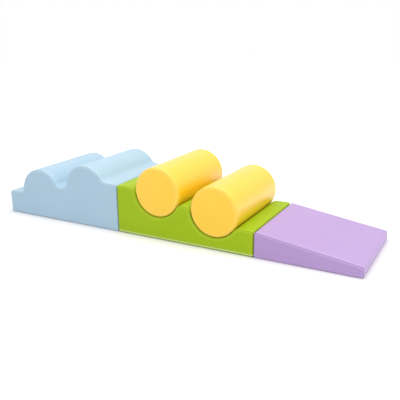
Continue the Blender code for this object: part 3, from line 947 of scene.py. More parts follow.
def laddered(low: float, stops: Sequence[float], high: float, step: float) -> Array:
    """Values with the fine ladder at both ends and about even steps between.

    Args:
        low: The first value.
        stops: Values that have to be among them.
        high: The last value.
        step: About how far apart the middle ones are.

    Returns:
        The values.
    """
    edges = [low + LADDER[-1], *stops, high - LADDER[-1]]
    parts = [np.linspace(start, end, max(1, math.ceil((end - start) / step)) + 1)[:-1]
             for start, end in zip(edges, edges[1:])]
    return np.concatenate([low + LADDER, np.concatenate(parts)[1:], high - LADDER[::-1]])


@dataclass(frozen=True)
class BasePanel:
    """The panel under a block, with the zip's opening."""

    cover: Cover
    length: float
    rounding: Rounding
    slot: Slot
    zip_y: float

    def shape(self) -> Shape:
        """The panel: a level grid with rolled lips, open along the zip.

        Returns:
            The shape.
        """
        left_x = self.cover.left_x
        low_x, high_x = self.rounding.foot, self.length - self.rounding.foot
        half = self.cover.half_width - self.rounding.base
        stops_x = (self.length / 2 - self.slot.reach, self.length / 2 + self.slot.reach)
        stops_y = (self.zip_y - self.slot.side, self.zip_y + self.slot.side)
        x = laddered(low_x, stops_x, high_x, 0.009)
        y = laddered(-half, stops_y, half, 0.012)
        grid_x, grid_y = np.meshgrid(x, y, indexing="ij")
        seam_x = np.minimum(grid_x - low_x, high_x - grid_x)
        seam_y = half - np.abs(grid_y)
        seam = np.minimum(seam_x, seam_y)
        values = {"seam": seam, "along": np.where(seam_x < seam_y, grid_y, grid_x)}
        points = stacked(left_x + grid_x, grid_y, self.cover.drape.dip(seam))
        normals = np.broadcast_to([0.0, 0.0, -1.0], points.shape)
        middle = np.array([left_x + self.length / 2, self.zip_y, 0])
        return slotted(points, normals, values, places_of(stops_x, x) + places_of(stops_y, y),
                       self.slot, middle, np.array([1.0, 0.0, 0.0]))


# Zips


def closed_bars(points: Array) -> Shape:
    """Closed bars from rings of points: sides between the rings and a strip over each end.

    Args:
        points: Bars by rings by points round a ring by three.

    Returns:
        All bars as one shape.
    """
    rings, around = points.shape[1:3]
    numbers = numbers_of(points[..., 0])
    following = np.roll(numbers, -1, axis=2)
    quads = stacked(numbers[:, :-1], following[:, :-1], following[:, 1:],
                    numbers[:, 1:]).reshape(-1, 4)
    flat = points.reshape(-1, 3)
    middles = np.repeat(points.mean(axis=2), around, axis=1).reshape(-1, 3)
    faces = [facing_out(flat, flat - middles, quads)]
    half = around // 2
    step = points[:, -1].mean(axis=1) - points[:, 0].mean(axis=1)
    for ring, way in ((0, -1), (-1, 1)):
        row = numbers[:, ring]
        strip = stacked(row[:, :half - 1], row[:, 1:half], row[:, around - 2:half - 1:-1],
                        row[:, around - 1:half:-1]).reshape(-1, 4)
        faces.append(facing_out(flat, np.repeat(step * way, rings * around, axis=0), strip))
    return Shape(flat, faces)


@dataclass(frozen=True)
class Zip:
    """A zip, made lying along X with +Z out of the cover, and then placed.

    Its heights are measured outwards from the cover's outer face.
    """

    slot_length: float
    place: Matrix
    tape_width: float = 0.028
    tape_thickness: float = 0.0006
    tape_end: float = 0.015
    tape_level: float = -0.0067
    teeth_width: float = 0.005
    teeth_height: float = 0.0024
    pitch: float = 0.0021
    pocket_floor: float = -0.0082
    pocket_top: float = 0.004

    def tape(self) -> Shape:
        """Both tapes, closed: across them run a thin web, corded edges and a low rib.

        The section is a closed line; its height is half the thickness with two soft ribs.

        Returns:
            The shape.
        """
        half = self.tape_width / 2
        across = np.concatenate([np.linspace(-half, -half + 0.0012, 4),
                                 np.linspace(-half + 0.002, half - 0.002, 22),
                                 np.linspace(half - 0.0012, half, 4)])
        border = np.sqrt(np.clip(1 - (np.abs(across) / half) ** 30, 0, 1))
        rib = bell(np.abs(across), 0.0045, 0.0006)
        height = self.tape_thickness / 2 * (0.55 + 0.45 * rib) * border
        ring_y = np.concatenate([across, across[::-1]])
        ring_z = np.concatenate([height, -height[::-1]]) + self.tape_level
        end = self.slot_length / 2 + self.tape_end
        x = np.linspace(-end, end, max(8, round(2 * end / 0.006)))
        points = stacked(x[:, None], ring_y[None], ring_z[None])
        numbers, flat = numbers_of(points[..., 0]), points.reshape(-1, 3)
        count = len(across)
        faces = [facing_out(flat, (flat - [0, 0, self.tape_level]) * [0, 0, 1],
                            grid_quads(numbers, True))]
        for row, way in ((numbers[0], -1.0), (numbers[-1], 1.0)):
            end_quads = grid_quads(np.stack([row[:count], row[:count - 1:-1]]))
            faces.append(facing_out(flat, (way, 0.0, 0.0), end_quads))
        return Shape(flat, faces)

    def teeth(self) -> Shape:
        """The closed teeth: small rounded bars that lean in from each tape in turn.

        Returns:
            The shape.
        """
        count = int(2 * (self.slot_length / 2 - 3 * CLEARANCE) / self.pitch)
        centres = (np.arange(count) - (count - 1) / 2) * self.pitch
        angle = np.radians(np.arange(0, 360, 45) + 22.5)
        ring_x = self.pitch * 0.42 * np.cos(angle)
        ring_z = self.teeth_height / 2 * 0.96 * np.sin(angle)
        stations = np.array([-1.0, -0.86, 0.10, 0.30]) * self.teeth_width / 2 * 0.96
        swell = np.array([0.62, 1.0, 1.0, 0.66])[:, None]
        bars = []
        for parity, side in ((0, 1.0), (1, -1.0)):
            x = centres[parity::2, None, None] + ring_x * swell
            parts = (x, (side * stations)[:, None], self.tape_level + ring_z * swell)
            bars.append(closed_bars(stacked(*parts)))
        return bars[0].joined(bars[1])

    def pocket(self, piece: bpy.types.Object) -> None:
        """Sink the zip's pocket into a piece of foam.

        Args:
            piece: The foam.
        """
        length = self.slot_length / 2 + self.tape_end + 3 * CLEARANCE
        width = self.tape_width / 2 + 3 * CLEARANCE
        cut_foam(piece, (-length, -width, self.pocket_floor), (length, width, self.pocket_top),
                 self.place, Cut.OUTSIDE)

    def dress(self, prefix: str, body: str) -> None:
        """Make the tape and its teeth on a body; the prefix is the first part of the name."""
        shape = self.tape().joined(self.teeth()).placed(self.place)
        dressed(shape.object(prefix + "_zip"), NYLON, body, prefix + "_zip_tape")


# Node trees


class Tree:
    """Adds nodes to a node tree, linking or setting their inputs."""

    def __init__(self, nodes: bpy.types.NodeTree) -> None:
        """Keep the node tree."""
        self.nodes = nodes

    def add(self, kind: str, inputs: dict | None = None, **settings: object) -> bpy.types.Node:
        """A node with its inputs linked from sockets or set to values.

        Args:
            kind: Blender's name of the node, without ShaderNode.
            inputs: Input name or number to a socket or a value.
            settings: Properties of the node.

        Returns:
            The node.
        """
        node = self.nodes.nodes.new("ShaderNode" + kind)
        for name, value in settings.items():
            setattr(node, name, value)
        for name, value in (inputs or {}).items():
            self.put(node.inputs[name], value)
        return node

    def put(self, socket: Socket, value: object) -> None:
        """Link a socket to another one, or set its value.

        Args:
            socket: The socket.
            value: Another socket, a number, or a colour of three or four parts.
        """
        if isinstance(value, Socket):
            self.nodes.links.new(value, socket)
        elif socket.type == "RGBA" and len(value) == 3:
            socket.default_value = (*value, 1.0)
        else:
            socket.default_value = value

    def use(self, effect: Callable[[], bpy.types.NodeTree], **inputs: object) -> object:
        """The outputs of a shared effect, placed here with its own values."""
        return self.add("Group", inputs, node_tree=effect()).outputs

    def sum(self, operation: str, *values: object) -> Socket:
        """The result of a math node."""
        return self.add("Math", dict(enumerate(values)), operation=operation).outputs[0]

    def times(self, one: object, other: object) -> Socket:
        """One value times another."""
        return self.sum("MULTIPLY", one, other)

    def rest(self, value: object) -> Socket:
        """1 less a value."""
        return self.sum("SUBTRACT", 1.0, value)

    def vector(self, operation: str, inputs: dict) -> Socket:
        """The result of a vector math node."""
        return self.add("VectorMath", inputs, operation=operation).outputs[0]

    def mix(self, share: object, first: object, second: object) -> Socket:
        """A colour between two, by a share."""
        node = self.add("Mix", {0: share, 6: first, 7: second}, data_type="RGBA")
        return node.outputs[2]

    def tinted(self, colour: object, coats: Iterable[tuple[object, float, Colour]]) -> object:
        """A colour under thin coats, each a mask, the most it covers and its colour.

        Args:
            colour: The colour below.
            coats: The coats, the lowest first.

        Returns:
            The colour.
        """
        for mask, most, coat in coats:
            colour = self.mix(self.times(mask, most), colour, coat)
        return colour

    def between(self, share: object, first: object, second: object) -> Socket:
        """A number between two, by a share."""
        return self.add("Mix", {0: share, 2: first, 3: second}, data_type="FLOAT").outputs[0]

    def span(self, value: object, low: float, high: float, to_low: float = 0.0,
             to_high: float = 1.0) -> Socket:
        """A value from one range carried smoothly to another, and held at its ends."""
        ends = {0: value, 1: low, 2: high, 3: to_low, 4: to_high}
        return self.add("MapRange", ends, interpolation_type="SMOOTHSTEP").outputs[0]

    def fall(self, value: object, low: float, high: float) -> Socket:
        """1 up to low, then smoothly down to 0 at high."""
        return self.rest(self.span(value, low, high))

    def noise(self, where: object, scale: float, detail: float = 2.0,
              roughness: float = 0.5) -> Socket:
        """Value of a noise texture."""
        settings = {"Vector": where, "Scale": scale, "Detail": detail, "Roughness": roughness}
        return self.add("TexNoise", settings).outputs[0]

    def cells(self, where: object, scale: object, randomness: float = 1.0,
              feature: str = "F1") -> Socket:
        """Distance of a cell texture."""
        settings = {"Vector": where, "Scale": scale, "Randomness": randomness}
        return self.add("TexVoronoi", settings, feature=feature).outputs["Distance"]

    def height(self, where: object) -> Socket:
        """Z of a place."""
        return self.add("SeparateXYZ", {"Vector": where}).outputs["Z"]

    def value(self, name: str) -> Socket:
        """A value that the mesh keeps at its vertices."""
        return self.add("Attribute", attribute_name=name).outputs["Fac"]

    def bump(self, height: object, strength: float, distance: float,
             below: Socket | None = None) -> Socket:
        """A normal bumped by a height, over another normal if there is one.

        Args:
            height: The height.
            strength: How much of it counts.
            distance: Metres for a height of 1.
            below: The other normal.

        Returns:
            The normal.
        """
        inputs = {"Height": height, "Strength": strength, "Distance": distance}
        if below is not None:
            inputs["Normal"] = below
        return self.add("Bump", inputs).outputs[0]


def effect(outputs: Sequence[str], **inputs: str) -> Callable:
    """Turn a function that adds nodes into one that gives their shader group, made once.

    Args:
        outputs: Names of the outputs, all numbers, in the order that the function gives them.
        inputs: Input name to socket kind, Float or Vector.

    Returns:
        The decorator.
    """

    def wrap(fill: Callable[..., Sequence[Socket]]) -> Callable[[], bpy.types.NodeTree]:
        """The function that gives the group, made at its first call.

        Args:
            fill: The function that adds the nodes.

        Returns:
            The function that gives the group.
        """

        @cache
        def made() -> bpy.types.NodeTree:
            """The group, named after the function that fills it.

            Returns:
                The group.
            """
            group = bpy.data.node_groups.new(fill.__name__, "ShaderNodeTree")
            sockets = [(label, "INPUT", kind) for label, kind in inputs.items()]
            sockets += [(label, "OUTPUT", "Float") for label in outputs]
            for label, way, kind in sockets:
                group.interface.new_socket(label, in_out=way, socket_type="NodeSocket" + kind)
            given = group.nodes.new("NodeGroupInput").outputs
            target = group.nodes.new("NodeGroupOutput").inputs
            tree = Tree(group)
            for label, socket in zip(outputs, fill(tree, *(given[name] for name in inputs))):
                tree.put(target[label], socket)
            return group

        return made

    return wrap


@effect(("Height", "Valley"), Where="Vector", Cells="Float")
def leather_grain(tree: Tree, where: Socket, cells: Socket) -> tuple[Socket, Socket]:
    """Pebbled grain of a coated cloth: bent cells with soft valleys, and a fine noise.

    Args:
        tree: The group's nodes.
        where: The place on the object.
        cells: Cells a metre.

    Returns:
        Height and valleys.
    """
    bend = tree.add("TexNoise", {"Vector": where, "Scale": 240.0, "Detail": 1.0})
    shift = tree.vector("SUBTRACT", {0: bend.outputs["Color"], 1: (0.5, 0.5, 0.5)})
    small = tree.vector("SCALE", {0: shift, "Scale": 0.0011})
    bent = tree.vector("ADD", {0: where, 1: small})
    pebble = tree.span(tree.cells(bent, cells, feature="DISTANCE_TO_EDGE"), 0.0, 0.26)
    fine = tree.noise(where, 2600.0, 1.0)
    return tree.sum("MULTIPLY_ADD", fine, 0.35, pebble), tree.rest(pebble)


@effect(("Height", "Groove shade", "Ridge wear and highlight"), Seam="Float", Along="Float")
def seam_work(tree: Tree, seam: Socket, along: Socket) -> tuple[Socket, Socket, Socket]:
    """What a sewn seam does beside it: stitch dents, a groove of painted shade and a pale ridge
    of wear and painted highlight.

    Args:
        tree: The group's nodes.
        seam: Distance to the seam.
        along: Distance along it.

    Returns:
        Height, groove and ridge.
    """
    stitch = tree.sum("SINE", tree.times(along, 2 * math.pi / 0.0052))
    drag = tree.sum("SINE", tree.times(along, 2 * math.pi / 0.0117))
    fine = tree.times(stitch, tree.fall(seam, 0.0008, 0.0058))
    broad = tree.times(drag, tree.fall(seam, 0.001, 0.016))
    # Painted shade in the seam's groove, fading out within 1.1 mm of the seam
    groove_shade = tree.fall(seam, 0.0, 0.0011)
    # A pale ridge beside the seam, about 1.2 to 19 mm out: wear and a painted highlight
    falling = tree.fall(seam, 0.0085, 0.019)
    return (tree.sum("MULTIPLY_ADD", broad, 0.6, fine), groove_shade,
            tree.times(tree.span(seam, 0.0012, 0.0045), falling))


@effect(("Tone", "Scuff", "Dust"), Where="Vector")
def handling(tree: Tree, where: Socket) -> tuple[Socket, Socket, Socket]:
    """Light wear: cloudy tone, small scuffs and a little dust low on the sides.

    Args:
        tree: The group's nodes.
        where: The place on the object.

    Returns:
        Tone, scuffs and dust.
    """
    cloud = tree.noise(where, 3.4, 3.0)
    fleck = tree.noise(where, 55.0, 4.0, 0.62)
    tone = tree.sum("MULTIPLY_ADD", fleck, 0.35, tree.times(cloud, 0.65))
    streak = tree.add("Mapping", {"Vector": where, "Scale": (14.0, 90.0, 60.0),
                                  "Rotation": (0.3, 0.5, 0.7)}).outputs[0]
    scuff = tree.span(tree.noise(streak, 1.0, 3.0, 0.6), 0.60, 0.74)
    low = tree.fall(tree.height(where), 0.0, 0.045)
    return (tree.span(tone, 0.34, 0.66), scuff,
            tree.times(low, tree.span(fleck, 0.35, 0.7)))


@effect(("Height", "Gap"), Where="Vector", Threads="Float")
def plain_weave(tree: Tree, where: Socket, threads: Socket) -> tuple[Socket, Socket]:
    """Woven threads: the product of crossed sines picks which rounded ridge is on top.

    Args:
        tree: The group's nodes.
        where: The place on the object.
        threads: Threads a metre.

    Returns:
        Height and gaps.
    """
    split = tree.add("SeparateXYZ", {"Vector": where}).outputs
    across, along, up = (tree.sum("SINE", tree.times(tree.times(split[axis], threads), math.pi))
                         for axis in "XYZ")
    ridge = tree.sum("ABSOLUTE", tree.times(across, tree.sum("ADD", along, up)))
    fuzz = tree.noise(where, 1900.0, 2.0)
    return (tree.sum("MULTIPLY_ADD", fuzz, 0.5, ridge),
            tree.fall(ridge, 0.0, 0.35))


# Finishes


def new_material(name: str, paint: Callable[[Tree, Socket], dict]) -> bpy.types.Material:
    """A material with one Principled shader.

    Args:
        name: Name of the material.
        paint: Gives the shader's inputs, from the tree and the place on the object.

    Returns:
        The material.
    """
    material = bpy.data.materials.new(name)
    material.use_nodes = True
    tree = Tree(material.node_tree)
    shader = material.node_tree.nodes["Principled BSDF"]
    for label, value in paint(tree, tree.add("TexCoord").outputs["Object"]).items():
        tree.put(shader.inputs[label], value)
    return material


@dataclass(frozen=True)
class Finish:
    """A finish: the record's slot that it belongs to, and its base colour."""

    slot: str
    colour: Colour

    def times(self, gain: float) -> Colour:
        """The base colour times a gain, 1 at most."""
        return tuple(min(1.0, gain * part) for part in self.colour)

    def material(self) -> bpy.types.Material:
        """The material, made once a finish."""
        return material_of(self)

    def paint(self, tree: Tree, where: Socket) -> dict[str, object]:
        """Inputs of the shader; each kind of finish has its own way."""
        raise NotImplementedError


@cache
def material_of(finish: Finish) -> bpy.types.Material:
    """The one material of a finish."""
    return new_material(finish.slot, finish.paint)


@dataclass(frozen=True)
class Leathercloth(Finish):
    """Soft coated cloth with a fine pebbled grain, matt with a low sheen."""

    deep: Colour = (0.1, 0.1, 0.1)
    pale: Colour = (0.9, 0.9, 0.9)
    dust: Colour = (0.62, 0.60, 0.56)
    cells: float = 720.0
    rough: float = 0.42
    gloss: float = 0.5
    sheen: float = 0.12
    coat: float = 0.0
    coat_rough: float = 0.3
    # How dark the painted shade in a seam's groove is, as a share of the deep colour
    groove_shade: float = 0.22
    # Share of the pale colour on the ridge beside a seam: wear and a painted highlight
    ridge: float = 0.20
    # Share of painted shade, a tenth of the deep colour, in the hollows such as the troughs
    trough_shade: float = 0.0
    # Painted highlight: a pale colour for a band on the welt above the floor, and that band's
    # middle and edges
    welt_and_highlight: Colour | None = None
    welt_place: tuple[float, float, float] = (0.0112, 0.0014, 0.0058)

    def paint(self, tree: Tree, where: Socket) -> dict[str, object]:
        """Tone and dust over the colour; at the seams a groove of painted shade and a ridge of
        wear and painted highlight.

        Args:
            tree: The material's nodes.
            where: The place on the object.

        Returns:
            Inputs of the shader.
        """
        grain = tree.use(leather_grain, Where=where, Cells=self.cells)
        seam = tree.use(seam_work, Seam=tree.value("seam"), Along=tree.value("along"))
        worn = tree.use(handling, Where=where)
        # The pale ridge beside a seam is partly wear and partly a painted highlight
        colour = tree.tinted(self.colour, ((worn["Tone"], 0.16, self.deep),
                                           (seam["Ridge wear and highlight"], self.ridge, self.pale),
                                           (grain["Valley"], 0.14, self.deep),
                                           (worn["Scuff"], 0.05, self.pale),
                                           (worn["Dust"], 0.10, self.dust)))
        # Painted shade: the cloth in the hollows turns towards a tenth of its deep colour
        if self.trough_shade:
            dark = tuple(0.1 * part for part in self.deep)
            colour = tree.tinted(colour, ((tree.value("held"), self.trough_shade, dark),))
        # Painted highlight: up to 0.7 towards the welt's pale colour, in a band round its height
        # above the floor
        if self.welt_and_highlight is not None:
            middle, inner, outer = self.welt_place
            off = tree.sum("ABSOLUTE", tree.sum("SUBTRACT", tree.height(where), middle))
            colour = tree.mix(tree.span(off, inner, outer, 0.7, 0.0), colour, self.welt_and_highlight)
        # Painted shade: the groove's colour, mixed in by up to 0.85 at the seam
        groove_shade = tuple(self.groove_shade * part for part in self.deep)
        rough = tree.sum("MULTIPLY_ADD", worn["Scuff"], 0.07,
                         tree.span(worn["Tone"], 0.0, 1.0, self.rough, self.rough + 0.09))
        broad = tree.bump(seam["Height"], 0.55, 0.00035)
        return {"Base Color": tree.tinted(colour, ((seam["Groove shade"], 0.85, groove_shade),)),
                "Roughness": tree.sum("MULTIPLY_ADD", grain["Valley"], 0.12, rough),
                "Specular IOR Level": self.gloss, "Sheen Weight": self.sheen,
                "Sheen Roughness": 0.5, "Coat Weight": self.coat,
                "Coat Roughness": self.coat_rough,
                "Normal": tree.bump(grain["Height"], 0.42, 0.00016, broad)}


@dataclass(frozen=True)
class GripCloth(Finish):
    """Woven base cloth with rows of small rubbery dots that grip the floor."""

    dot_pitch: float = 0.0065

    def paint(self, tree: Tree, where: Socket) -> dict[str, object]:
        """Dots where the distance to a regular lattice point is small, over a weave.

        Args:
            tree: The material's nodes.
            where: The place on the object.

        Returns:
            Inputs of the shader.
        """
        weave = tree.use(plain_weave, Where=where, Threads=1250.0)
        worn = tree.use(handling, Where=where)
        dot = tree.fall(tree.cells(where, 1 / self.dot_pitch, 0.0), 0.24, 0.31)
        colour = tree.mix(weave["Gap"], self.colour, self.times(0.4))
        colour = tree.tinted(colour, ((dot, 0.9, (0.035, 0.035, 0.038)),
                                      (worn["Dust"], 0.25, (0.30, 0.29, 0.27))))
        high = tree.sum("MULTIPLY_ADD", dot, 2.2, weave["Height"])
        return {"Base Color": colour, "Roughness": tree.span(dot, 0.0, 1.0, 0.88, 0.52),
                "Normal": tree.bump(high, 0.6, 0.0003)}


class OpenFoam(Finish):
    """Pale open-celled foam."""

    def paint(self, tree: Tree, where: Socket) -> dict[str, object]:
        """Pores where fine cells are near their middles, over a cloudy cream.

        Args:
            tree: The material's nodes.
            where: The place on the object.

        Returns:
            Inputs of the shader.
        """
        hole = tree.fall(tree.cells(where, 620.0), 0.12, 0.5)
        cloud = tree.noise(where, 9.0, 3.0)
        colour = tree.mix(cloud, self.colour, self.times(0.82))
        return {"Base Color": tree.tinted(colour, ((hole, 0.55, (0.42, 0.36, 0.24)),)),
                "Roughness": tree.span(cloud, 0.2, 0.8, 0.88, 0.97),
                "Normal": tree.bump(tree.rest(hole), 0.8, 0.0006)}


class WovenTape(Finish):
    """Zip tape and nylon teeth: a tight weave with a faint gloss."""

    def paint(self, tree: Tree, where: Socket) -> dict[str, object]:
        """A weave with fibres a little paler than the gaps between them.

        Args:
            tree: The material's nodes.
            where: The place on the object.

        Returns:
            Inputs of the shader.
        """
        weave = tree.use(plain_weave, Where=where, Threads=2100.0)
        worn = tree.use(handling, Where=where)
        colour = tree.mix(weave["Gap"], self.colour, self.times(0.35))
        return {"Base Color": tree.tinted(colour, ((worn["Tone"], 0.3, self.times(1.6)),)),
                "Roughness": tree.span(worn["Tone"], 0.0, 1.0, 0.48, 0.62),
                "Normal": tree.bump(weave["Height"], 0.5, 0.00012)}


class Pile(Enum):
    """What stands up from a fastening strip."""

    HOOKS = "hook_tape"
    LOOPS = "loop_tape"


@dataclass(frozen=True)
class FasteningTape(Finish):
    """Woven tape with rows of small hooks, or with a mat of soft loops."""

    pile: Pile = Pile.HOOKS

    def paint(self, tree: Tree, where: Socket) -> dict[str, object]:
        """Rows of dots for hooks or a curly noise for loops, on the part with pile.

        Args:
            tree: The material's nodes.
            where: The place on the object.

        Returns:
            Inputs of the shader.
        """
        on_pile = tree.span(tree.value("pile"), 0.2, 0.8)
        weave = tree.use(plain_weave, Where=where, Threads=1500.0)
        cloud = tree.noise(where, 40.0, 3.0)
        if self.pile is Pile.HOOKS:
            tuft = tree.fall(tree.cells(where, 640.0, 0.35), 0.1, 0.5)
            rough = tree.span(tuft, 0.0, 1.0, 0.92, 0.55)
        else:
            tuft = tree.noise(where, 900.0, 4.0, 0.7)
            rough = tree.span(cloud, 0.0, 1.0, 0.9, 0.98)
        height = tree.between(on_pile, weave["Height"], tree.times(tuft, 2.5))
        colour = tree.tinted(self.colour, ((tree.times(tuft, on_pile), 0.6, self.times(2.6)),
                                           (cloud, 0.25, self.times(0.6))))
        return {"Base Color": colour, "Roughness": rough,
                "Normal": tree.bump(height, 0.9, 0.0005)}


class CastMetal(Finish):
    """A small plated casting with a fine cast skin."""

    def paint(self, tree: Tree, where: Socket) -> dict[str, object]:
        """Fine noise for the casting's skin and broad noise for its tone.

        Args:
            tree: The material's nodes.
            where: The place on the object.

        Returns:
            Inputs of the shader.
        """
        skin = tree.noise(where, 1300.0, 3.0)
        cloud = tree.noise(where, 160.0, 3.0)
        return {"Base Color": tree.mix(cloud, self.colour, self.times(0.7)),
                "Roughness": tree.span(skin, 0.3, 0.7, 0.24, 0.42), "Metallic": 1.0,
                "Normal": tree.bump(skin, 0.2, 0.00008)}


BLUE = Leathercloth("blue_cover", (0.42, 0.605, 0.745), (0.345, 0.54, 0.705),
                    (0.64, 0.78, 0.87), gloss=0.55, sheen=0.25)
# Green: painted shade darkens the troughs under the rollers
# Green: the pale band along the welt just above the floor is a painted highlight
GREEN = Leathercloth("green_cover", (0.37, 0.545, 0.002), (0.30, 0.475, 0.001),
                     (0.55, 0.72, 0.065), gloss=0.27, sheen=0.0, ridge=0.3, trough_shade=0.7,
                     welt_and_highlight=(0.68, 0.80, 0.38))
YELLOW = Leathercloth("yellow_cover", (1.0, 0.635, 0.006), (1.0, 0.555, 0.003),
                      (1.0, 0.82, 0.34), rough=0.40, sheen=0.0, coat=0.9, coat_rough=0.32,
                      groove_shade=0.9)
LILAC = Leathercloth("lilac_cover", (0.475, 0.32, 0.64), (0.40, 0.257, 0.57),
                     (0.67, 0.525, 0.79), sheen=0.22)
GRIP = GripCloth("base_cloth", (0.10, 0.10, 0.11))
FOAM = OpenFoam("foam", (0.80, 0.76, 0.62))
NYLON = WovenTape("zip_nylon", (0.055, 0.055, 0.062))
METAL = CastMetal("slider_metal", (0.60, 0.60, 0.62))
HOOKS = FasteningTape("hook_tape", (0.045, 0.045, 0.05), Pile.HOOKS)
LOOPS = FasteningTape("loop_tape", (0.05, 0.05, 0.056), Pile.LOOPS)


# Fastening strips


@dataclass(frozen=True)
class Strip:
    """A hook or loop strip sewn on the end face of a block."""

    name: str
    body: str
    face_x: float
    out: int
    middle_z: float
    finish: FasteningTape
    length: float = 0.450
    height: float = 0.050
    thickness: float = 0.0019
    corner: float = 0.004
    stitch: float = 0.0034
    stitch_gap: float = 0.0014
    stitch_inset: float = 0.0021
    thread: float = 0.00030

    def stitch_line(self) -> Array:
        """Points (y, z) once round: a rectangle with quarter-round corners.

        Returns:
            The points, with the first again at the end.
        """
        radius = max(self.corner - self.stitch_inset, 0.0008)
        half = np.array([self.length / 2, self.height / 2]) - self.stitch_inset - radius
        corners = []
        for quarter, sign in enumerate(((1, 1), (-1, 1), (-1, -1), (1, -1))):
            angle = quarter * QUARTER + np.radians(np.linspace(0, 90, 7))
            way = stacked(np.cos(angle), np.sin(angle))
            corners.append(half * sign + radius * way)
        return np.concatenate([*corners, corners[0][:1]])

    def pad(self) -> Shape:
        """The tape: a closed pillow whose middle part stands up by its pile.

        Over the grid (y, z), pulled in round the corners, its height is the web's, plus the
        pile's times a smooth step of the distance from the border, plus a small waviness.

        Returns:
            The shape.
        """
        half = np.array([self.length / 2, self.height / 2])
        rim = np.array([0, 0.0004, 0.001, 0.002, 0.003, 0.0037, 0.0042, 0.0048, 0.006])
        y, z = (np.concatenate([-end + rim, np.linspace(-end + inset, end - inset, count),
                                end - rim[::-1]])
                for end, inset, count in zip(half, (0.011, 0.009), (90, 12)))
        grid = np.stack(np.meshgrid(y, z, indexing="ij"), axis=-1)
        past = np.maximum(self.corner - (half - np.abs(grid)), 0)
        most, reach = past.max(axis=-1), np.hypot(past[..., 0], past[..., 1])
        shrink = np.where(reach > 0, np.maximum(most, 1e-9) / np.maximum(reach, 1e-9), 1)
        grid = np.sign(grid) * (np.abs(grid) - past + past * shrink[..., None])
        inner = (half - np.abs(grid)).min(axis=-1)
        edge = np.where(most > 0, self.corner - most, inner)
        pile = smooth(np.clip((edge - 0.0036) / 0.0012, 0, 1))
        grid_y, grid_z = grid[..., 0], grid[..., 1]
        tuft = np.sin(grid_y / 0.0031) * np.sin(grid_z / 0.0027 + grid_y / 0.011)
        web = 0.0009 * np.sqrt(np.clip(edge / 0.0006, 0.06, 1))
        high = web + pile * (self.thickness - 0.0011 + 0.00012 * tuft)
        back = self.face_x + self.out * CLEARANCE
        flat = np.concatenate([
            stacked(x, grid_y, self.middle_z + grid_z).reshape(-1, 3)
            for x in (back + self.out * high, np.full_like(high, back))])
        numbers = numbers_of(high)
        border = ring_of(numbers)
        rim_rows = np.stack([border, border + high.size])
        faces = [facing_out(flat, (self.out, 0, 0), grid_quads(numbers)),
                 facing_out(flat, (-self.out, 0, 0), grid_quads(numbers + high.size)),
                 facing_out(flat, (flat - [0, 0, self.middle_z]) * [0, 1, 1],
                            grid_quads(rim_rows, True))]
        return Shape(flat, faces, {"pile": np.append(pile.ravel(), np.zeros(high.size))})

    def stitches(self) -> Shape:
        """A row of thread stitches just inside the border.

        Each is a bar that swells from thin ends, laid along the border and sunk at its ends.

        Returns:
            The shape.
        """
        line = self.stitch_line()
        run = np.concatenate([[0], np.cumsum(np.hypot(*np.diff(line, axis=0).T))])
        count = int(run[-1] / (self.stitch + self.stitch_gap))
        spots = (np.arange(count) + 0.5) * run[-1] / count
        offsets = np.array([-0.5, -0.32, 0, 0.32, 0.5]) * self.stitch
        swell = np.array([0.3, 0.85, 1.0, 0.85, 0.3])[:, None]
        sink = np.array([0.0003, 0.00005, 0, 0.00005, 0.0003])
        where = np.mod(spots[:, None] + offsets, run[-1])
        y, z = (np.interp(where, run, part) for part in line.T)
        along = stacked(y[:, -1] - y[:, 0], z[:, -1] - z[:, 0])
        along /= np.linalg.norm(along, axis=1, keepdims=True)
        along_y, along_z = along.T[:, :, None, None]
        angle = np.radians(np.arange(0, 360, 60))
        sideways = self.thread * np.cos(angle) * swell
        upward = self.thread * np.sin(angle) * swell
        level = self.face_x + self.out * (CLEARANCE + 0.00095 - sink)
        parts = (level[:, None] + self.out * upward, y[:, :, None] - along_z * sideways,
                 self.middle_z + z[:, :, None] + along_y * sideways)
        return closed_bars(stacked(*parts))

    def dress(self) -> None:
        """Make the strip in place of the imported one."""
        shape = self.pad().joined(self.stitches())
        dressed(shape.object(self.name + "_sewn"), self.finish, self.body, self.name)


# Blocks and rollers


@dataclass(frozen=True)
class FoamCore:
    """The foam inside a cover: its outline carried across, set back, closed at both sides."""

    cover: Cover

    def shape(self) -> Shape:
        """A grid from the middle of the front over the edges to the back, with two fillings.

        The surface is set back from the cover, and dips under each seam by
        depth exp(-(distance / width)^2).

        Returns:
            The shape.
        """
        cover = self.cover
        panel = SidePanel(cover, FRONT)
        loop, across, up = panel.loop()
        line = cover.outline.at(loop)
        over = (line.edge * QUARTER)[:, None] * np.linspace(0, 1, 9)[::-1]
        flat_rows = (line.edge - cover.half_width)[:, None] * np.linspace(0, 1, 12)[1:]
        turned = np.concatenate([over[:, 1:], flat_rows], axis=1)
        dent = DENT_DEPTH * bell(turned, (line.edge * line.seam_turn)[:, None], DENT_WIDTH)
        rows = []
        for side in (FRONT, BACK):
            points, normals = cover.surface(line, turned, side)
            rows.append(points - normals * dent[..., None])
        body = mirrored(*rows)
        grid, border = panel.filling(loop, across, up)
        every = np.concatenate([body.reshape(-1, 3), cover.flat_side(grid, FRONT),
                                cover.flat_side(grid, BACK)])
        numbers = numbers_of(body[..., 0])
        front = numbers_of(grid[..., 0], numbers.size)
        back = front + front.size
        rings = np.concatenate([front.ravel()[border][None], numbers.T,
                                back.ravel()[border][None]])
        guide = np.zeros_like(every)
        out = stacked(line.facing_x, 0 * line.x, line.facing_z)
        guide[:numbers.size] = np.repeat(out, body.shape[1], axis=0)
        return Shape(every, [facing_out(every, guide, grid_quads(rings, True)),
                             facing_out(every, (0, FRONT, 0), grid_quads(front)),
                             facing_out(every, (0, BACK, 0), grid_quads(back))])


class Cut(Enum):
    """What a cut leaves of the foam."""

    OUTSIDE = "DIFFERENCE"
    INSIDE = "INTERSECT"


